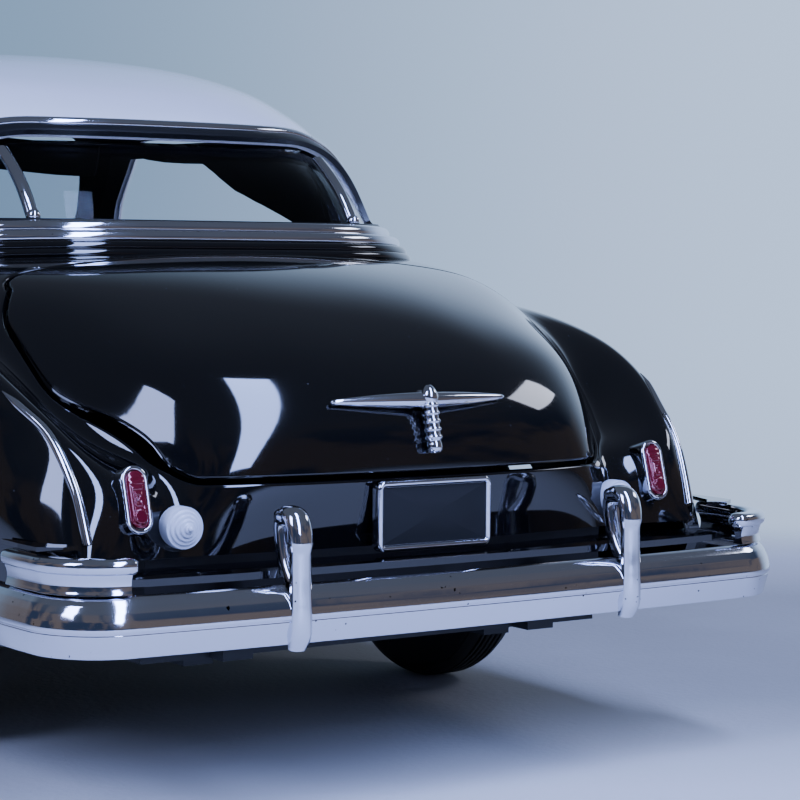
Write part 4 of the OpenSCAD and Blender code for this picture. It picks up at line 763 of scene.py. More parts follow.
def roof_points(r, a):
    """Points of the roof: r counts the rings and a is the angle round each, in degrees from the right.
    Each ring is a squared oval in plan, longer behind its middle than before it."""
    q = catmull(ROOF_RINGS, r)
    c, s = np.cos(np.radians(a)), np.sin(np.radians(a))
    reach = np.where(s > 0, q[..., 0] - ROOF_MID, ROOF_MID - q[..., 1])
    high = q[..., 4] + (np.where(s > 0, q[..., 3], q[..., 5]) - q[..., 4]) * np.abs(s) ** 3
    square = np.where(s > 0, q[..., 6], q[..., 7])
    x = q[..., 2] * np.sign(c) * np.abs(c) ** (2 / square)
    y = ROOF_MID + reach * np.sign(s) * np.abs(s) ** (2 / square)
    return np.stack([x, y, high], axis=-1)


def roof_grid(r, a):
    """Points of the roof for a column of rings and a row, or rows, of angles."""
    return roof_points(r[:, None] + 0 * a, a + 0 * r[:, None])


def roof_angles(start, end, spacing):
    """Angles that step evenly along the roof's second ring."""
    fine = np.linspace(start, end, 4000)
    run = lengths(roof_points(np.ones(4000), fine))
    return np.interp(np.linspace(0, run[-1], int(run[-1] / spacing) + 1), run, fine)


def roof_sheet(low, high, start, end, spacing):
    """A sheet of the roof, with its steps even along the rings and up them."""
    a = roof_angles(start, end, spacing)
    fine = np.linspace(low, high, 800)
    run = lengths(roof_points(fine, np.full(800, 270.0)))
    r = np.interp(np.linspace(0, run[-1], int(run[-1] / spacing) + 1), run, fine)
    return Sheet(eased(roof_grid(r, a), 0, 1.2 / spacing), UPWARD)


def screen_field(p):
    """Inside the windscreen's opening: an outline of half widths at heights, ahead of Y 8."""
    rows = np.array([[66.8, 33.6], [70, 33.2], [74, 32.2], [78, 30.8], [81.8, 28.8]])
    right = np.stack([rows[:, 1] - 1.5, rows[:, 0]], axis=1)
    outline = np.concatenate([right, right[::-1] * [-1, 1]])
    return both(1.5 + polygon_field(p[..., 0], p[..., 2], outline), p[..., 1] - 8)


def side_window_field(p):
    """Inside a side window, from either side: rows of its height and its rear and front ends."""
    rows = np.array([[66, -44, 19], [70, -44.6, 17], [74, -44.4, 13.6], [78, -42.6, 9.6], [80.2, -39, 6.4]])
    outline = np.concatenate([rows[:, [1, 0]], rows[::-1][:, [2, 0]]])
    return 1.5 + polygon_field(p[..., 1], p[..., 2], outline)


def rear_window_field(p):
    """Inside the rear window: rows of its height and its front end, open to the rear."""
    rows = np.array([[67.4, -61.4], [70, -60.6], [73, -60.6], [75.6, -61.4], [76.9, -63.5]])
    outline = np.concatenate([rows[:, [1, 0]], [[-110, 76.9], [-110, 67.4]]])
    return 1.5 + polygon_field(p[..., 1], p[..., 2], outline)


def trace(sheet, field, count):
    """The closed line round a window: where the field crosses the grid's edges, in order of the
    direction from their middle, smoothed and evenly spaced. Returns places and normals."""
    rows, columns = field.shape
    data = np.concatenate([sheet.points, sheet.normal], axis=-1)
    found, where = [], []
    r, c = np.meshgrid(np.arange(rows), np.arange(columns), indexing="ij")
    for dr, dc in ((1, 0), (0, 1)):
        a, b = field[: rows - dr, : columns - dc], field[dr:, dc:]
        cross = (a > 0) != (b > 0)
        share = (a / np.where(a == b, 1e-9, a - b))[cross][:, None]
        found.append(data[: rows - dr, : columns - dc][cross] * (1 - share) + data[dr:, dc:][cross] * share)
        where.append(np.stack([r[: rows - dr, : columns - dc][cross] + dr * share[:, 0],
                               c[: rows - dr, : columns - dc][cross] + dc * share[:, 0]], axis=1))
    found, where = np.concatenate(found), np.concatenate(where)
    middle = 0.5 * (where.max(axis=0) + where.min(axis=0))
    reach = where.max(axis=0) - middle
    turn = np.arctan2(*((where - middle) / reach).T)
    loop = found[np.argsort(turn)]
    for _ in range(4):
        loop = 0.25 * np.roll(loop, 1, axis=0) + 0.5 * loop + 0.25 * np.roll(loop, -1, axis=0)
    closed = np.concatenate([loop, loop[:1]])
    run = lengths(closed[:, :3])
    at = np.linspace(0, run[-1], count, endpoint=False)
    even = np.stack([np.interp(at, run, closed[:, j]) for j in range(6)], axis=1)
    return even[:, :3], unit(even[:, 3:])


def edge_strip(sheet, field, profile, count):
    """A moulding carried round a window: its profile is (towards the glass, out of the car)."""
    path, normal = trace(sheet, field, count)
    way = tangents(path, closed=True)
    inward = unit(np.cross(normal, way))
    if ((path.mean(axis=0) - path) * inward).sum() < 0:
        inward = -inward
    return sweep(path, inward, normal, profile, closed=True)


roof = roof_sheet(0, 7, 0, 360, 1.0)
# The ends of the grid meet at the right, so both take one normal, and the crown is drawn to a point
meet = unit(roof.normal[:, 0] + roof.normal[:, -1])
roof.normal[:, 0] = roof.normal[:, -1] = meet
R = roof.points
rear_f = both(rear_window_field(R), -20 - R[..., 1])
side_f = both(side_window_field(R), np.abs(R[..., 0]) - 20)
panel("roof_skin", roof, [-screen_field(R), -side_f, -rear_f], ROOF_WALL, ROOF_EDGE_R, WHITE, "body",
      "roof_paint", ["roof_shell"], lining=LINING)
crown = R[-1].mean(axis=0)
ring = R[-1][:-1]
n = len(ring)
add_mesh("roof_crown", np.concatenate([ring, [crown]]),
         np.stack([np.arange(n), (np.arange(n) + 1) % n, np.full(n, n)], axis=1), WHITE, "body",
         np.tile(UPWARD, (n + 1, 1)), "roof_paint")


def pane(name, low, high, start, end, replaces):
    """A clear window: a smooth sheet of the roof's form, set inside the casting, with closed edges."""
    near = ROOF_WALL + GLASS_GAP
    glass = slab(roof_sheet(low, high, start, end, 1.6), near, near + GLASS_WALL)
    solid(name, [glass], CLEAR, "body", "clear", replaces, crease=40)


pane("rear_glass", 0.42, 1.9, 204, 336, ["rear_window"])
pane("front_glass", 0.3, 2.3, 32, 148, ["windscreen"])

seal = [[-1.5, -0.3], [-1.5, 0.1], [-0.9, 0.22], [0, 0.25], [0.4, 0.15], [0.5, -0.6]]
bead = [[-2.8, -0.3], [-2.8, 0.12], [-2.55, 0.38], [-2.1, 0.5], [-1.65, 0.38], [-1.4, 0.12], [-1.4, -0.3]]
half_round = [[-0.5, -0.2], [-0.5, 0.15], [-0.3, 0.42], [0, 0.5], [0.3, 0.42], [0.5, 0.15], [0.5, -0.6]]
reveals = [edge_strip(roof, rear_f, bead, 420), edge_strip(roof, screen_field(R), half_round, 360)]
# Each side window is traced on a grid that is turned by a quarter, so that its seam is elsewhere
middle = R.shape[1] // 4
for turn_by in (middle, -middle):
    turned = Sheet(np.roll(R[:, :-1], turn_by, axis=1), UPWARD)
    x = turned.points[..., 0]
    window = both(np.roll(side_f[:, :-1], turn_by, axis=1), own_side(x, np.sign(x[0, middle])))
    reveals.append(edge_strip(turned, window, half_round, 300))
solid("window_reveals", reveals, CHROME, "body", "chrome", crease=50)
# The seal's black band is painted reflection of the dark room in the plated reveal
solid("rear_window_seal", [edge_strip(roof, rear_f, seal, 420)], SEAL_BLACK_PAINTED_REFLECTION, "body", "chrome", crease=50)

# Chrome at the rear


def superellipse(half_w, half_h, power, count):
    """A closed squared oval."""
    a = np.linspace(0, 2 * math.pi, count, endpoint=False)
    c, s = np.cos(a), np.sin(a)
    x, y = (np.sign(v) * np.abs(v) ** (2 / power) for v in (c, s))
    return np.stack([half_w * x, half_h * y], 1)


def ball(centre, radius, count, rows):
    """A sphere turned about the upright."""
    a = np.radians(np.linspace(-90, 90, rows))
    return revolve(np.stack([radius * np.cos(a), radius * np.sin(a)], 1), centre, UPWARD, count)


def quarter_trims():
    """Dark trim inside the roof behind each side window, and a header over the windscreen. Rows of the
    trim follow the roof's rings from sill to headlining, each from the trim's rear end to its sloped
    front edge."""
    rear = -49
    r = np.linspace(0.62, 2.5, 26)
    z = roof_points(r, 0 * r)[:, 2]
    front = np.interp(z, [66, 68.9, 70.8, 72.9, 75.5, 77.9, 79.2, 80, 81, 84],
                      [-41, -32.1, -26, -19.7, -15, -10.9, 6, 12, 20, 20])
    a = np.linspace(-80, 70, 600)
    turn = [np.interp(np.linspace(rear, f, 24), row[:, 1], a) for f, row in zip(front, roof_grid(r, a))]
    trim = Sheet(roof_grid(r, np.stack(turn)), UPWARD)
    parts = [slab(trim, 1.9, 2.6, side) for side in (-1, 1)]
    parts.append(slab(roof_sheet(1.74, 2.6, 36, 144, 1.5), 2.5, 3.2))
    solid("quarter_trims", parts, LINING, "body", "interior", crease=40)


def window_bars():
    """Two upright bars over the rear glass, each on a ball foot."""
    bar_x = 24.8
    parts = []
    for side in (-1, 1):
        r = np.linspace(0.58, 1.62, 24)
        a = np.linspace(270, 330, 400)
        at = [np.interp(bar_x, row[:, 0], a) for row in roof_grid(r, a)]
        path = roof_points(r, np.array(at)) * [side, 1, 1]
        way = tangents(path)
        normal = unit(np.cross([1.0, 0, 0], way))
        normal *= np.sign(-normal[:, 1:2])
        right = unit(np.cross(way, normal))
        parts.append(sweep(path - normal * 1.0, right, normal, superellipse(0.9, 0.6, 2.6, 16)))
        parts.append(ball(path[0] - normal[0] * 0.75, 0.95, 20, 13))
    solid("window_bars_plated", parts, CHROME, "body", "chrome", ["window_bars"], crease=50)


def round_ribs(ribs, fall):
    """Section of a row of ribs, each (low, high, out), with faces that fall off at their edges."""
    turn = np.radians(np.linspace(-80, 80, 9))
    return np.concatenate([
        np.stack([(low + high) / 2 + (high - low) / 2 * np.sin(turn), out - fall + fall * np.cos(turn)], 1)
        for low, high, out in ribs])


def belt_moulding():
    """The moulding round the foot of the rear window: two plated ribs over a black base of two more,
    carried round the roof's foot on straight lines between its first two rows. The base's black is painted
    reflection: it stands where the lower plated ribs mirror the dark room. A section's points are
    (height over the deck, distance out of the roof)."""
    a = roof_angles(198.5, 341.5, 0.9)
    foot, over = roof_points(0 * a, a), roof_points(0 * a + 0.5, a)
    normal = Sheet(roof_grid(np.array([0.0, 0.25, 0.5]), a), UPWARD).normal[1]
    deck_z, deck_rise = 61.7, 0.8
    deck = deck_z + deck_rise * np.sin(np.radians(a)) ** 2

    def moulding(section):
        share = [(deck + q[0] - foot[:, 2]) / (over[:, 2] - foot[:, 2]) for q in section]
        return capped(np.stack([foot + (over - foot) * t[:, None] + normal * q[1]
                                for t, q in zip(share, section)], axis=1))

    ribs = np.concatenate([[[0.05, 0.1], [0.05, 1.4]], round_ribs([(0.2, 1.75, 1.9), (1.85, 3.45, 1.1)], 0.75),
                           [[3.5, 0.2], [3.5, 0.1]]])
    base = np.concatenate([[[-2.1, 0.1], [-2.1, 1.9]], round_ribs([(-2.0, -1.1, 2.45), (-1.0, -0.05, 2.3)], 0.3),
                           [[0.1, 0.9], [0.1, 0.1]]])
    solid("belt_moulding_plated", [moulding(ribs)], CHROME, "body", "chrome", ["belt_moulding"], crease=50)
    # The base's black ribs are painted reflection, standing where plated ribs mirror the dark room
    solid("belt_base_black", [moulding(base)], BLACK, "body", "paint", crease=50)


quarter_trims()
window_bars()
belt_moulding()

BUMPER_HALF, BUMPER_CORNER, BUMPER_BOW = 49.8, 7.0, 1.2
REAR_WRAP, FRONT_WRAP = 18, 20
BUMPER_Z, REAR_FACE, FRONT_FACE = 19.4, -135.4, 135.4
BUMPER_PROFILE = [[0.9, 0], [1.3, 0.05], [1.85, 2.3], [1.9, 2.55], [1.85, 2.7], [2.1, 2.95], [2.08, 3.4],
                  [1.95, 4.1], [1.7, 4.9], [1.3, 5.7], [0.75, 6.3], [0.1, 6.55], [-0.7, 6.45], [-1.1, 6.0],
                  [-0.6, 5.7], [0.2, 5.6], [0.8, 4.8], [0.9, 4.0], [0.7, 2.9], [0.4, 1.4], [0.2, 0.2]]


def bumper_path(end):
    """Plan of a bumper from end to end, its face towards -Y: a bowed bar with wrapped corners."""
    flat = BUMPER_HALF - BUMPER_CORNER
    x = np.linspace(0, 1, 40)[:-1]
    a = np.radians(np.linspace(0, 90, 16))
    corner_end = BUMPER_BOW + BUMPER_CORNER
    half = smooth_path(np.concatenate([
        np.stack([flat * x, BUMPER_BOW * x**2], 1),
        np.stack([flat + BUMPER_CORNER * np.sin(a), BUMPER_BOW + BUMPER_CORNER * (1 - np.cos(a))], 1),
        [[BUMPER_HALF + 0.2, corner_end + (end - BUMPER_CORNER) * 0.5], [BUMPER_HALF, BUMPER_BOW + end]],
    ]), 90)
    return np.concatenate([half[:0:-1] * [-1, 1], half])


def levelled(plan, y, z):
    """A path in plan moved to a place, and the way out of it at each of its points."""
    way = tangents(plan)
    path = np.column_stack([plan + [0, y], np.full(len(plan), z)])
    return path, np.stack([way[:, 1], -way[:, 0], 0 * way[:, 0]], axis=1)


def bumper(name, face, end, flip, replaces):
    """A plated bumper bar: a narrow sloped flange below a crease, and a rounded bar above it."""
    path, out = levelled(bumper_path(end), face, BUMPER_Z)
    points, faces = sweep(path, out, UPWARD, round_corners(BUMPER_PROFILE, 0.12, 3))
    solid(name, [(points * [1, flip, 1], faces)], CHROME, "body", "chrome", replaces, crease=38)


bumper("rear_bumper_plated", REAR_FACE, REAR_WRAP, 1, ["rear_bumper"])
bumper("front_bumper_plated", -FRONT_FACE, FRONT_WRAP, -1, ["front_bumper"])

GUARD_X, GUARD_CAP_Z = 23.4, 33.2


def guards(name, face, flip, replaces):
    """Bumper guards: a post with a rounded face, a compact cap over it, and a thick leg behind that
    comes down to the bar."""
    parts = []
    right = np.array([1.0, 0, 0])
    for side in (-1, 1):
        centre = np.array([side * GUARD_X, face + 0.3, 0])
        post = centre + smooth_path(
            [[0, -0.9, 18.9], [0, -1.45, 20.6], [0, -1.6, 23], [0, -1.5, 27], [0, -1.45, 30.5],
             [0, -1.2, 32.2], [0, -0.5, 33.2], [0, 0.8, 33.55], [0, 2.2, 33.3]], 60)
        out = np.cross(tangents(post), right)
        s = np.linspace(0, 1, 60)
        width = np.interp(s, [0, 0.08, 0.3, 0.62, 0.66, 0.85, 1], [0.8, 1.0, 0.95, 0.93, 1.08, 1.08, 0.8])
        depth = np.interp(s, [0, 0.1, 0.3, 0.62, 0.66, 0.85, 1], [0.7, 1.1, 1.0, 0.95, 1.15, 1.0, 0.6])
        a = np.linspace(0, 2 * math.pi, 28, endpoint=False)
        across = 1.4 * np.sign(np.cos(a)) * np.abs(np.cos(a)) ** 0.8 * width[:, None]
        outward = np.where(np.sin(a) > 0, 0.55, 1.15) * np.sin(a) * depth[:, None]
        parts.append(capped(post[:, None] + right * across[..., None] + out[:, None] * outward[..., None]))
        leg = centre + smooth_path([[0, 1.5, 33.0], [0, 2.0, 32.3], [0, 1.8, 30.5], [0, 1.2, 28.5],
                                    [0, 0.4, 27], [0, -0.3, 26]], 30)
        parts.append(sweep(leg, right, np.cross(tangents(leg), right), superellipse(1.05, 1.0, 2.4, 20)))
        turn = np.radians(np.linspace(-90, 90, 17))
        reach, rise = np.abs(np.cos(turn)) ** 0.7, np.sign(np.sin(turn)) * np.abs(np.sin(turn)) ** 0.8
        disc = superellipse(1, 1, 2.6, 40) * [1.42, 2.0]
        cap = np.stack([np.column_stack([disc * max(q, 0.02), np.full(40, h)]) for q, h in zip(reach, rise)])
        parts.append(capped(cap + centre + [0, 0.75, GUARD_CAP_Z]))
    parts = [(p * [1, flip, 1], f) for p, f in parts]
    solid(name, parts, CHROME, "body", "chrome", replaces, crease=50)


guards("rear_guards_plated", REAR_FACE, 1, ["rear_guards"])
guards("front_guards_plated", -FRONT_FACE, -1, ["front_guards"])

# Small chrome and lamps


def oval(width, height, inset=0.0, count=48):
    """An upright outline with round ends: a circle cut in half and drawn apart."""
    a = np.linspace(0, 2 * math.pi, count, endpoint=False)
    r = width / 2 - inset
    return np.stack([r * np.cos(a), r * np.sin(a) + np.sign(np.sin(a)) * (height - width) / 2], 1)


def rounded(width, height, radius, inset=0.0, count=10):
    """A rectangle whose corners are quarter circles, moved inwards by the inset."""
    r = max(radius - inset, 0.05)
    a = np.radians(np.linspace(0, 90, count))
    w, h = width / 2 - inset - r, height / 2 - inset - r
    turns = [(w, h, 0), (-w, h, 90), (-w, -h, 180), (w, -h, 270)]
    return np.concatenate([np.stack([x + r * np.cos(a + math.radians(d)), y + r * np.sin(a + math.radians(d))],
                                    axis=1) for x, y, d in turns])


def stack(rings, centre, right, up):
    """Joins outlines at their heights over the plane of right and up, in order, and closes both ends."""
    right, up = unit(np.asarray(right, dtype=float)), unit(np.asarray(up, dtype=float))
    out = np.cross(right, up)
    grid = np.stack([np.asarray(centre) + o[:, :1] * right + o[:, 1:] * up + h * out for o, h in rings])
    return capped(grid)


def on_skin(path):
    """Where a path lies on the body: each point goes to the mean of the skin's near points, weighted by
    a bell curve of 0.6 mm, and takes their normal; both are then eased along the path."""
    flat, normal = P.reshape(-1, 3), skin.normal.reshape(-1, 3)
    near = np.abs(flat[:, None, 1] - path[None, :, 1]).min(axis=1) < 3
    near &= np.sign(flat[:, 0]) == np.sign(path[0, 0])
    flat, normal = flat[near], normal[near]
    d2 = ((flat[None] - path[:, None]) ** 2).sum(-1)
    w = np.exp(-0.5 * (d2 - d2.min(axis=1, keepdims=True)) / 0.36)
    w /= w.sum(axis=1, keepdims=True)
    n = unit(w @ normal)
    at = w @ flat
    at = path + n * ((at - path) * n).sum(-1, keepdims=True)
    return eased(at, 0, 3), unit(eased(n, 0, 3))


WING_RIDGE = [[47.0, -111.1, 46.8], [45.9, -114.2, 44.7], [44.5, -117.2, 42.4], [44.0, -119.8, 39.9],
              [43.65, -122.8, 36.1], [43.5, -124.2, 33.0], [43.3, -125.2, 30.4]]


def wing_strips():
    """A thin half-round bead down the ridge of each rear wing, which thins out at its upper end."""
    parts = []
    for side in (-1, 1):
        path, normal = on_skin(smooth_path(np.array(WING_RIDGE) * [side, 1, 1], 70))
        way = tangents(path)
        s = np.linspace(0, 1, 70)
        taper = np.clip(np.minimum(s / 0.12, 1) ** 0.7, 0.15, 1) * np.interp(s, [0, 0.5, 1], [0.75, 1, 1.1])
        parts.append(sweep(path + normal * 0.1, unit(np.cross(normal, way)), normal,
                           superellipse(0.55, 0.5, 2.2, 14), scale=taper))
    solid("wing_strips_plated", parts, CHROME, "body", "chrome", ["wing_strips"], crease=60)


def end_rails():
    """Rails over the rear bumper's corners: a round-edged cap on a narrow web with a spread foot. The
    cap's inner end is a half ball."""
    start = 42.1
    plan = bumper_path(REAR_WRAP - 3)
    first = [start, np.interp(start, plan[:, 0], plan[:, 1])]
    half = smooth_path(np.concatenate([[first], plan[plan[:, 0] > start]]), 60)
    path, out = levelled(half, REAR_FACE, 0)
    gone = lengths(half)
    scale = np.ones(60)
    for from_end in (gone, gone[-1] - gone):
        scale *= np.sqrt(np.clip(1 - (1 - np.clip(from_end, 0, 1)) ** 2, 0.05, 1))
    cap = sweep(path + [0, 0, BUMPER_Z + 9.65], out, UPWARD, superellipse(1.32, 0.93, 2.7, 28) + [0.05, 0],
                scale=scale)
    section = [[-0.85, 6.66], [-0.6, 7.1], [-0.5, 7.7], [-0.6, 8.3], [-0.95, 8.9], [0.95, 8.9], [0.7, 8.3],
               [0.62, 7.7], [0.72, 7.1], [0.9, 6.66]]
    web = sweep(path[3:-3] + [0, 0, BUMPER_Z], out[3:-3], UPWARD, round_corners(section, 0.15, 3))
    parts = [(p * [side, 1, 1], f) for side in (-1, 1) for p, f in (cap, web)]
    solid("rear_end_rails_plated", parts, CHROME, "body", "chrome", ["rear_end_guards"], crease=50)


def plate():
    """A number plate's frame with rounded corners and a raised lip, and its blank black face."""
    back, z = -127.99, 31.8
    w, h, r = 16.2, 8.3, 1.0
    lip = [(0, 0), (0, 1.0), (0.06, 1.22), (0.22, 1.36), (0.4, 1.38), (0.6, 1.32), (0.74, 1.16), (0.78, 0.9)]
    frame_part = stack([(rounded(w, h, r, i), d) for i, d in lip], [0, back, z], [1, 0, 0], [0, 0, 1])
    solid("plate_frame_plated", [frame_part], CHROME, "body", "chrome", ["plate_frame"], crease=40)
    face = [(0.8, 0.85), (0.8, 0.98), (0.88, 1.02)]
    face = stack([(rounded(w, h, r, i), d) for i, d in face], [0, back, z], [1, 0, 0], [0, 0, 1])
    solid("plate_face", [face], PLATE_BLACK, "body", "paint", crease=40)


TAIL_LAMP, TAIL_LAMP_LEAN, REVERSING_LAMP = np.array([37.2, -125.1, 35]), 16, np.array([31.3, -124.7, 31.5])


def lamps():
    """Tail lamps in upright plated pods, each with a domed, ribbed lens and a bulb's bulge low in it,
    and the white reversing lamps beside them, whose rings step up to a point."""
    pods, lenses, whites = [], [], []
    lean = math.radians(TAIL_LAMP_LEAN)
    up = np.array([0, math.sin(lean), math.cos(lean)])
    for side in (-1, 1):
        centre = TAIL_LAMP * [side, 1, 1]
        rim = [(0, -4.8), (0, -0.3), (0.06, -0.12), (0.18, 0), (0.4, 0.02), (0.52, -0.06), (0.58, -0.3),
               (0.6, -0.66)]
        pods.append(stack([(oval(3.4, 7.8, i), d) for i, d in rim], centre, [1, 0, 0], up))
        rho = np.concatenate([[1.0, 1.0], np.linspace(0.98, 0.04, 26)])
        rings = []
        for i, q in enumerate(rho):
            o = oval(2.2, 6.4, 0, 60) * q
            ribs = 0.10 * np.cos(o[:, 1] * 2 * math.pi / 0.62) * (1 - q**4)
            bulb = np.sqrt(np.maximum(0.85**2 - o[:, 0] ** 2 - (o[:, 1] + 2.05) ** 2, 0)) * 0.5
            height = -0.66 if i == 0 else np.minimum(0.12 + 0.28 * (1 - q**3) + ribs * 0.6 + bulb, 0.5)
            rings.append(np.column_stack([o, np.broadcast_to(height, len(o))]))
        out = np.cross([1, 0, 0], up)
        lenses.append(capped(np.stack([centre + g[:, :1] * [1, 0, 0] + g[:, 1:2] * up + g[:, 2:] * out
                                       for g in rings])))
        r = 2.4
        steps = [[0, -1.3], [r, -1.3], [r, 0.35], [r - 0.08, 0.5]]
        for i in range(1, 5):
            edge, low = r * (1 - i * 0.19), 0.3 * (i - 1)
            steps += [[edge + 0.09, low + 0.48], [edge, low + 0.56], [edge - 0.02, low + 0.72],
                      [edge - 0.1, low + 0.78]]
        steps += [[0.32, 1.72], [0.26, 1.95], [0.12, 2.06], [0, 2.1]]
        whites.append(revolve(steps, REVERSING_LAMP * [side, 1, 1], [0, -1, 0], 56))
    solid("tail_lamp_pods_plated", pods, CHROME, "body", "chrome", ["tail_lamp_pods"], crease=50)
    solid("tail_lenses_red", lenses, RED, "body", "red_lens", ["tail_lenses"], crease=70)
    solid("reversing_lamps_white", whites, LAMP_WHITE, "body", "white_lens", ["reversing_lamps"], crease=30)


def boot_handle():
    """The boot handle: two swept-back wings, a ringed grip that leans out below them, and a stem behind
    that joins them to the lid."""
    hub = np.array([0, -127.4, 45.0])
    parts = []
    wing = [[0, 0], [0.98, 0.1], [0.96, 2], [0.9, 4], [0.78, 6.5], [0.6, 9], [0.44, 11], [0.34, 12],
            [0.22, 12.45], [0, 12.6]]
    sweep_back = math.radians(8)
    for side in (-1, 1):
        parts.append(revolve(wing, hub, [side * math.cos(sweep_back), math.sin(sweep_back), 0], 28))
    lean = math.radians(12)
    down = np.array([0, -math.sin(lean), -math.cos(lean)])
    top = hub + [0, -0.4, 0]
    grip = [[0, -1.85], [0.35, -1.8], [0.55, -1.6], [0.8, -1.25], [1.0, -0.8], [1.05, -0.2], [0.85, 0.25]]
    for i in range(5):
        d = 0.3 + 0.95 * i
        grip += [[0.84, d], [1.0, d + 0.12], [1.05, d + 0.3], [1.0, d + 0.5], [0.84, d + 0.62]]
    grip += [[0.8, 4.9], [0.88, 5.2], [0.9, 5.6], [0.82, 5.95], [0.55, 6.2], [0, 6.3]]
    parts.append(revolve(grip, top, down, 32))
    parts.append(revolve([[0, 0], [0.7, 0], [0.7, 1.6], [0, 1.6]], hub + [0, 0, 0.5], [0, 1, 0], 20))
    solid("boot_handle_plated", parts, CHROME, "boot", "chrome", ["boot_handle"], crease=50)


PLATE_BLACK = moulded("blank_plate_black", "#050506", 0.75, 0.5, 0.002, "#08080a")
wing_strips()
end_rails()
plate()
lamps()
boot_handle()

# Wheels

TRACKS = {"front_left_wheel": (-40.0, FRONT_AXLE), "front_right_wheel": (40.0, FRONT_AXLE)}
REAR_TRACK, RIM_R = 42.2, 11.2


def tyre_profile():
    """Half of a tyre's section from the rim over the shoulder, mirrored, with five grooves in its tread
    and a bead on each wall: points of (radius, distance out from the middle)."""
    wall = [[RIM_R, 3.2], [RIM_R + 0.3, 3.7], [RIM_R + 1, 4.05], [RIM_R + 2.2, 4.45], [RIM_R + 2.4, 4.58],
            [RIM_R + 2.7, 4.46], [RIM_R + 4, 4.5], [RIM_R + 5.6, 4.42], [TYRE_R - 1.7, 4.1],
            [TYRE_R - 1.2, 3.8], [TYRE_R - 1.05, 3.5], [TYRE_R - 0.75, 3.45], [TYRE_R - 0.35, 2.85],
            [TYRE_R - 0.1, 2.2]]
    tread = []
    for at in (1.75, 0.9):
        tread += [[TYRE_R - 0.04, at + 0.2], [TYRE_R - 0.5, at + 0.13], [TYRE_R - 0.5, at - 0.13],
                  [TYRE_R, at - 0.2]]
    half = np.array(wall + tread + [[TYRE_R, 0.18], [TYRE_R - 0.5, 0.12]])
    return np.concatenate([half, half[::-1] * [1, -1]])


def tyre(x, y):
    """A tyre that stands on the ground, turned about its axle."""
    return revolve(tyre_profile(), [x, y, TYRE_R], [1, 0, 0], 128)


def wheel_parts(x, y):
    """A plated disc wheel: a rolled rim, a dished ring with eight bosses, and a stepped, domed cap."""
    out = np.sign(x)
    disc = [[3, -2], [3, 0.5], [RIM_R - 1.5, 1.1], [RIM_R - 1.5, -2.9], [RIM_R - 0.05, -3.15],
            [RIM_R - 0.02, 3.0], [RIM_R - 0.3, 3.12], [RIM_R - 0.75, 3.0], [RIM_R - 1.1, 2.6],
            [RIM_R - 1.5, 2.15], [RIM_R - 2.3, 2.0], [RIM_R - 3.2, 2.25], [7.3, 2.8], [7.1, 3.25],
            [6.7, 3.5], [6.2, 3.55], [5.9, 3.8], [5.2, 4.3], [4.2, 4.68], [3.1, 4.9], [2.7, 4.95],
            [2.55, 5.05], [2.0, 5.12], [1.0, 5.18], [0, 5.2]]
    parts = [revolve(disc, [x, y, TYRE_R], [out, 0, 0], 96)]
    for turn in np.radians(np.arange(0, 360, 45)):
        at = np.array([x + out * 2.1, y + 8.35 * math.cos(turn), TYRE_R + 8.35 * math.sin(turn)])
        parts.append(ball(at, 0.42, 12, 7))
    return parts


for body_name, (x, y) in TRACKS.items():
    label = body_name.replace("_wheel", "")
    solid(f"tyre_{label}_moulded", [tyre(x, y)], TYRE, body_name, "tyre", [f"tyre_{label}"], crease=35)
    solid(f"wheel_{label}_plated", wheel_parts(x, y), CHROME, body_name, "wheel_rim", [f"wheel_{label}"],
          crease=40)
solid("tyres_rear_moulded", [tyre(side * REAR_TRACK, REAR_AXLE) for side in (-1, 1)], TYRE, "rear_wheelset",
      "tyre", ["tyres_rear"], crease=35)
solid("wheels_rear_plated", wheel_parts(-REAR_TRACK, REAR_AXLE) + wheel_parts(REAR_TRACK, REAR_AXLE), CHROME,
      "rear_wheelset", "wheel_rim", ["wheels_rear"], crease=40)

# Front end


PARKING_LAMP = np.array([37.5, 122.6, 31])


def front_end():
    """Plated headlamp rims round domed, fluted lenses, and the parking lamps below them."""
    plated, lenses, small = [], [], []
    up = unit(np.cross([1.0, 0, 0], HEADLAMP_AXIS))
    for side in (-1, 1):
        centre = HEADLAMP * [side, 1, 1]
        section = [[5.0, 0.5], [5.95, 0.5], [6.0, 1.4], [5.97, 2.3], [5.85, 2.75], [5.6, 2.97],
                   [5.3, 3.0], [5.1, 2.8], [5.02, 2.3]]
        plated.append(revolve(section + section[:1], centre, HEADLAMP_AXIS, 72))
        rho = np.concatenate([[1.0, 1.0], np.linspace(0.99, 0.03, 22)])
        a = np.linspace(0, 2 * math.pi, 72, endpoint=False)
        grid = []
        for i, q in enumerate(rho):
            x, z = HEADLAMP_GLASS_R * q * np.cos(a), HEADLAMP_GLASS_R * q * np.sin(a)
            flute = 0.06 * np.cos(x * 2 * math.pi / 0.7) * (1 - q**6)
            lift = 0.7 if i == 0 else 1.75 + 0.75 * (1 - q**2) + flute
            lift = np.broadcast_to(lift, 72)[:, None]
            grid.append(centre + x[:, None] * [1, 0, 0] + z[:, None] * up + lift * HEADLAMP_AXIS)
        lenses.append(capped(np.stack(grid)))
        dome = [[0, 0], [1.76, 0], [1.78, 0.9], [1.65, 1.3], [1.3, 1.7], [0.7, 1.93], [0, 2.0]]
        small.append(revolve(dome, PARKING_LAMP * [side, 1, 1], [0, 1, 0], 36))
    solid("headlamp_rims_plated", plated, CHROME, "body", "chrome", ["headlamp_rims"], crease=50)
    solid("headlamp_lenses_fluted", lenses, LAMP_GLASS, "body", "clear", ["headlamp_lenses"], crease=60)
    solid("parking_lamps_domed", small, LAMP_WHITE, "body", "white_lens", ["parking_lamps"], crease=50)


LAMP_GLASS = clear("clear_lamp_plastic", "#dfe6ee", 0.06)
front_end()

# CAD nodes that stay, each with its finish

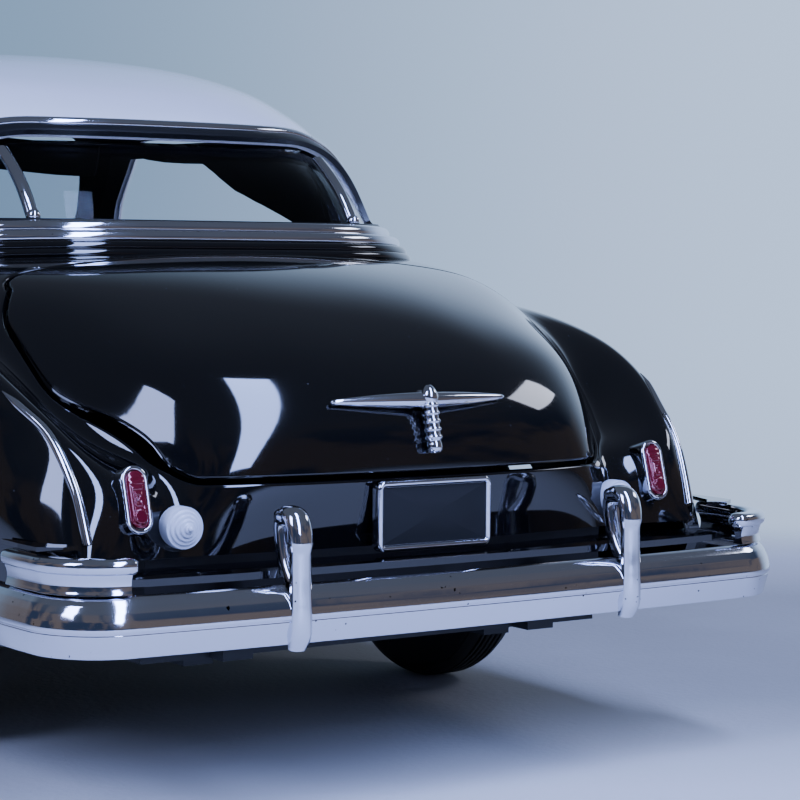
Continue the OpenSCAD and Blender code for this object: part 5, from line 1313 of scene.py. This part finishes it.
for finish_of, names in (
    (BLACK, ["splash_pan"]), (CHROME, ["grille", "bonnet_ornament"]), (CREAM, ["steering_wheel"]),
    (SEAT, ["front_seat", "rear_seat"]), (LINING, ["dashboard", "cabin_tub", "boot_tray"]),
    (CHASSIS, ["chassis_plate", "engine_bay", "front_beam", "hinge_ears"]), (ENGINE, ["engine_block"]),
    (STEEL, ["rear_axle", "tie_rod", "knuckle_left", "knuckle_right", "boot_hinge", "bonnet_hinge",
             "door_hinges_left", "door_hinges_right"]),
):
    for name in names:
        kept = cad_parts[name]
        if not kept.material_slots:
            kept.data.materials.append(finish_of)
        for one in kept.material_slots:
            one.link = "OBJECT"
            one.material = finish_of

# Stage

AHEAD = np.array([math.sin(math.radians(CAMERA_YAW)), math.cos(math.radians(CAMERA_YAW)), 0.0])
# Where the floor ends behind the car, and the stretch over which it fades out, in mm along the view
FLOOR_END, FLOOR_FADE = 175.0, 75


def stage():
    """A floor of pale felt, paler near and far than under the car, that ends behind the car: it fades
    out over its last stretch along the view. The darker felt in a band across the car's middle is painted
    shade."""
    m, tree, shader = finish("pale_felt_floor", "#d3d6e6", Roughness=0.9)
    ripple(tree, shader, 1.1, 0.12, detail=6.0)
    place = node(tree, "ShaderNodeTexCoord").outputs["Object"]
    cloud = node(tree, "ShaderNodeTexNoise", {"Vector": place}, Scale=22.0, Detail=6.0, Roughness=0.65)
    mix = node(tree, "ShaderNodeMix", {"Factor": cloud.outputs["Fac"], "A": linear("#a6a3a0"),
                                       "B": linear("#bdbab7")}, data_type="RGBA")
    far = node(tree, "ShaderNodeVectorMath", {0: place, 1: AHEAD.tolist()}, operation="DOT_PRODUCT")
    fade = node(tree, "ShaderNodeMapRange", {"Value": far.outputs["Value"]}, interpolation_type="SMOOTHSTEP",
                From_Min=(FLOOR_END - FLOOR_FADE) * MM, From_Max=FLOOR_END * MM)
    away = node(tree, "ShaderNodeMath", {0: far.outputs["Value"]}, operation="ABSOLUTE")
    # Painted shade: the floor keeps its darker felt within 50 mm of the car's middle along the view and turns
    # pale by 110 mm
    beyond_painted_shade = node(tree, "ShaderNodeMapRange", {"Value": away.outputs["Value"]}, From_Min=0.05, From_Max=0.11)
    coloured(tree, shader, beyond_painted_shade.outputs["Result"], mix.outputs["Result"], linear("#e2e0de"))
    through = node(tree, "ShaderNodeBsdfTransparent")
    blend = node(tree, "ShaderNodeMixShader", {0: fade.outputs["Result"], 1: shader.outputs["BSDF"],
                                               2: through.outputs["BSDF"]})
    tree.links.new(blend.outputs["Shader"], tree.nodes["Material Output"].inputs["Surface"])
    right = np.array([AHEAD[1], -AHEAD[0], 0])
    reach = 900
    ends = ((-reach, -reach), (-reach, reach), (FLOOR_END, reach), (FLOOR_END, -reach))
    corners = [AHEAD * a + right * b for a, b in ends]
    add_mesh("floor", corners, [[0, 1, 2, 3]], m, None)


def light(name, at, to, size, radiance, roll=0.0):
    """A soft box: a rectangle light at a place in mm, facing a point and rolled about that line; its
    radiance in red, green and blue times pi and its area gives the power."""
    data = bpy.data.lights.new(name, "AREA")
    data.shape = "RECTANGLE"
    data.size, data.size_y = size[0] * MM, size[1] * MM
    data.energy = max(radiance) * math.pi * size[0] * size[1] * MM * MM
    data.color = [v / max(radiance) for v in radiance]
    back = unit(np.array(at, dtype=float) - to)
    level = unit(np.cross(UPWARD, back))
    c, s = math.cos(math.radians(roll)), math.sin(math.radians(roll))
    up = np.cross(back, level) * c + level * s
    put(bpy.data.objects.new(name, data), np.cross(up, back), up, back, at)


def studio():
    """Light by direction: a blue-grey wall ahead that brightens to the right, a dim brown room with
    blue patches behind the camera, and dark overhead."""
    world = bpy.data.worlds.new("studio")
    bpy.context.scene.world = world
    world.use_nodes = True
    tree = world.node_tree
    place = node(tree, "ShaderNodeTexCoord").outputs["Generated"]

    def toward(way, low, high):
        dot = node(tree, "ShaderNodeVectorMath", {0: place, 1: list(way)}, operation="DOT_PRODUCT")
        ramp = node(tree, "ShaderNodeMapRange", {"Value": dot.outputs["Value"]}, From_Min=low, From_Max=high,
                    interpolation_type="SMOOTHSTEP")
        return ramp.outputs["Result"]

    def mixed(share, a, b):
        mix = node(tree, "ShaderNodeMix", {"Factor": share, "A": a, "B": b}, data_type="RGBA")
        return mix.outputs["Result"]

    right = (AHEAD[1], -AHEAD[0], 0.0)
    wall = mixed(toward(right, -0.2, 0.2), (0.25, 0.40, 0.62, 1), (0.70, 0.93, 1.36, 1))
    noise = node(tree, "ShaderNodeTexNoise", {"Vector": place}, Scale=3.0, Detail=3.0)
    patch = node(tree, "ShaderNodeMapRange", {"Value": noise.outputs["Fac"]}, From_Min=0.46, From_Max=0.56)
    room = mixed(patch.outputs["Result"], (0.03, 0.045, 0.09, 1), (0.14, 0.12, 0.125, 1))
    level = mixed(toward(AHEAD.tolist(), 0.35, 0.85), room, wall)
    result = mixed(toward((0.0, 0.0, 1.0), 0.25, 0.7), level, (0.085, 0.10, 0.14, 1))
    result = mixed(toward((0.0, 0.0, -1.0), 0.02, 0.35), result, (0.30, 0.33, 0.50, 1))
    tree.links.new(result, tree.nodes["Background"].inputs["Color"])


stage()
studio()
light("left_box", [-490, -235, 400], [-30, -118, 42], [170, 330], (7.0, 8.8, 17.0))
light("rear_box", [10, -457, 389], [-29, -122, 42], [100, 690], (9.2, 12.4, 26.0), 19)
light("right_box", [505, -190, 370], [18, -124, 44], [170, 100], (5.8, 6.2, 7.8))
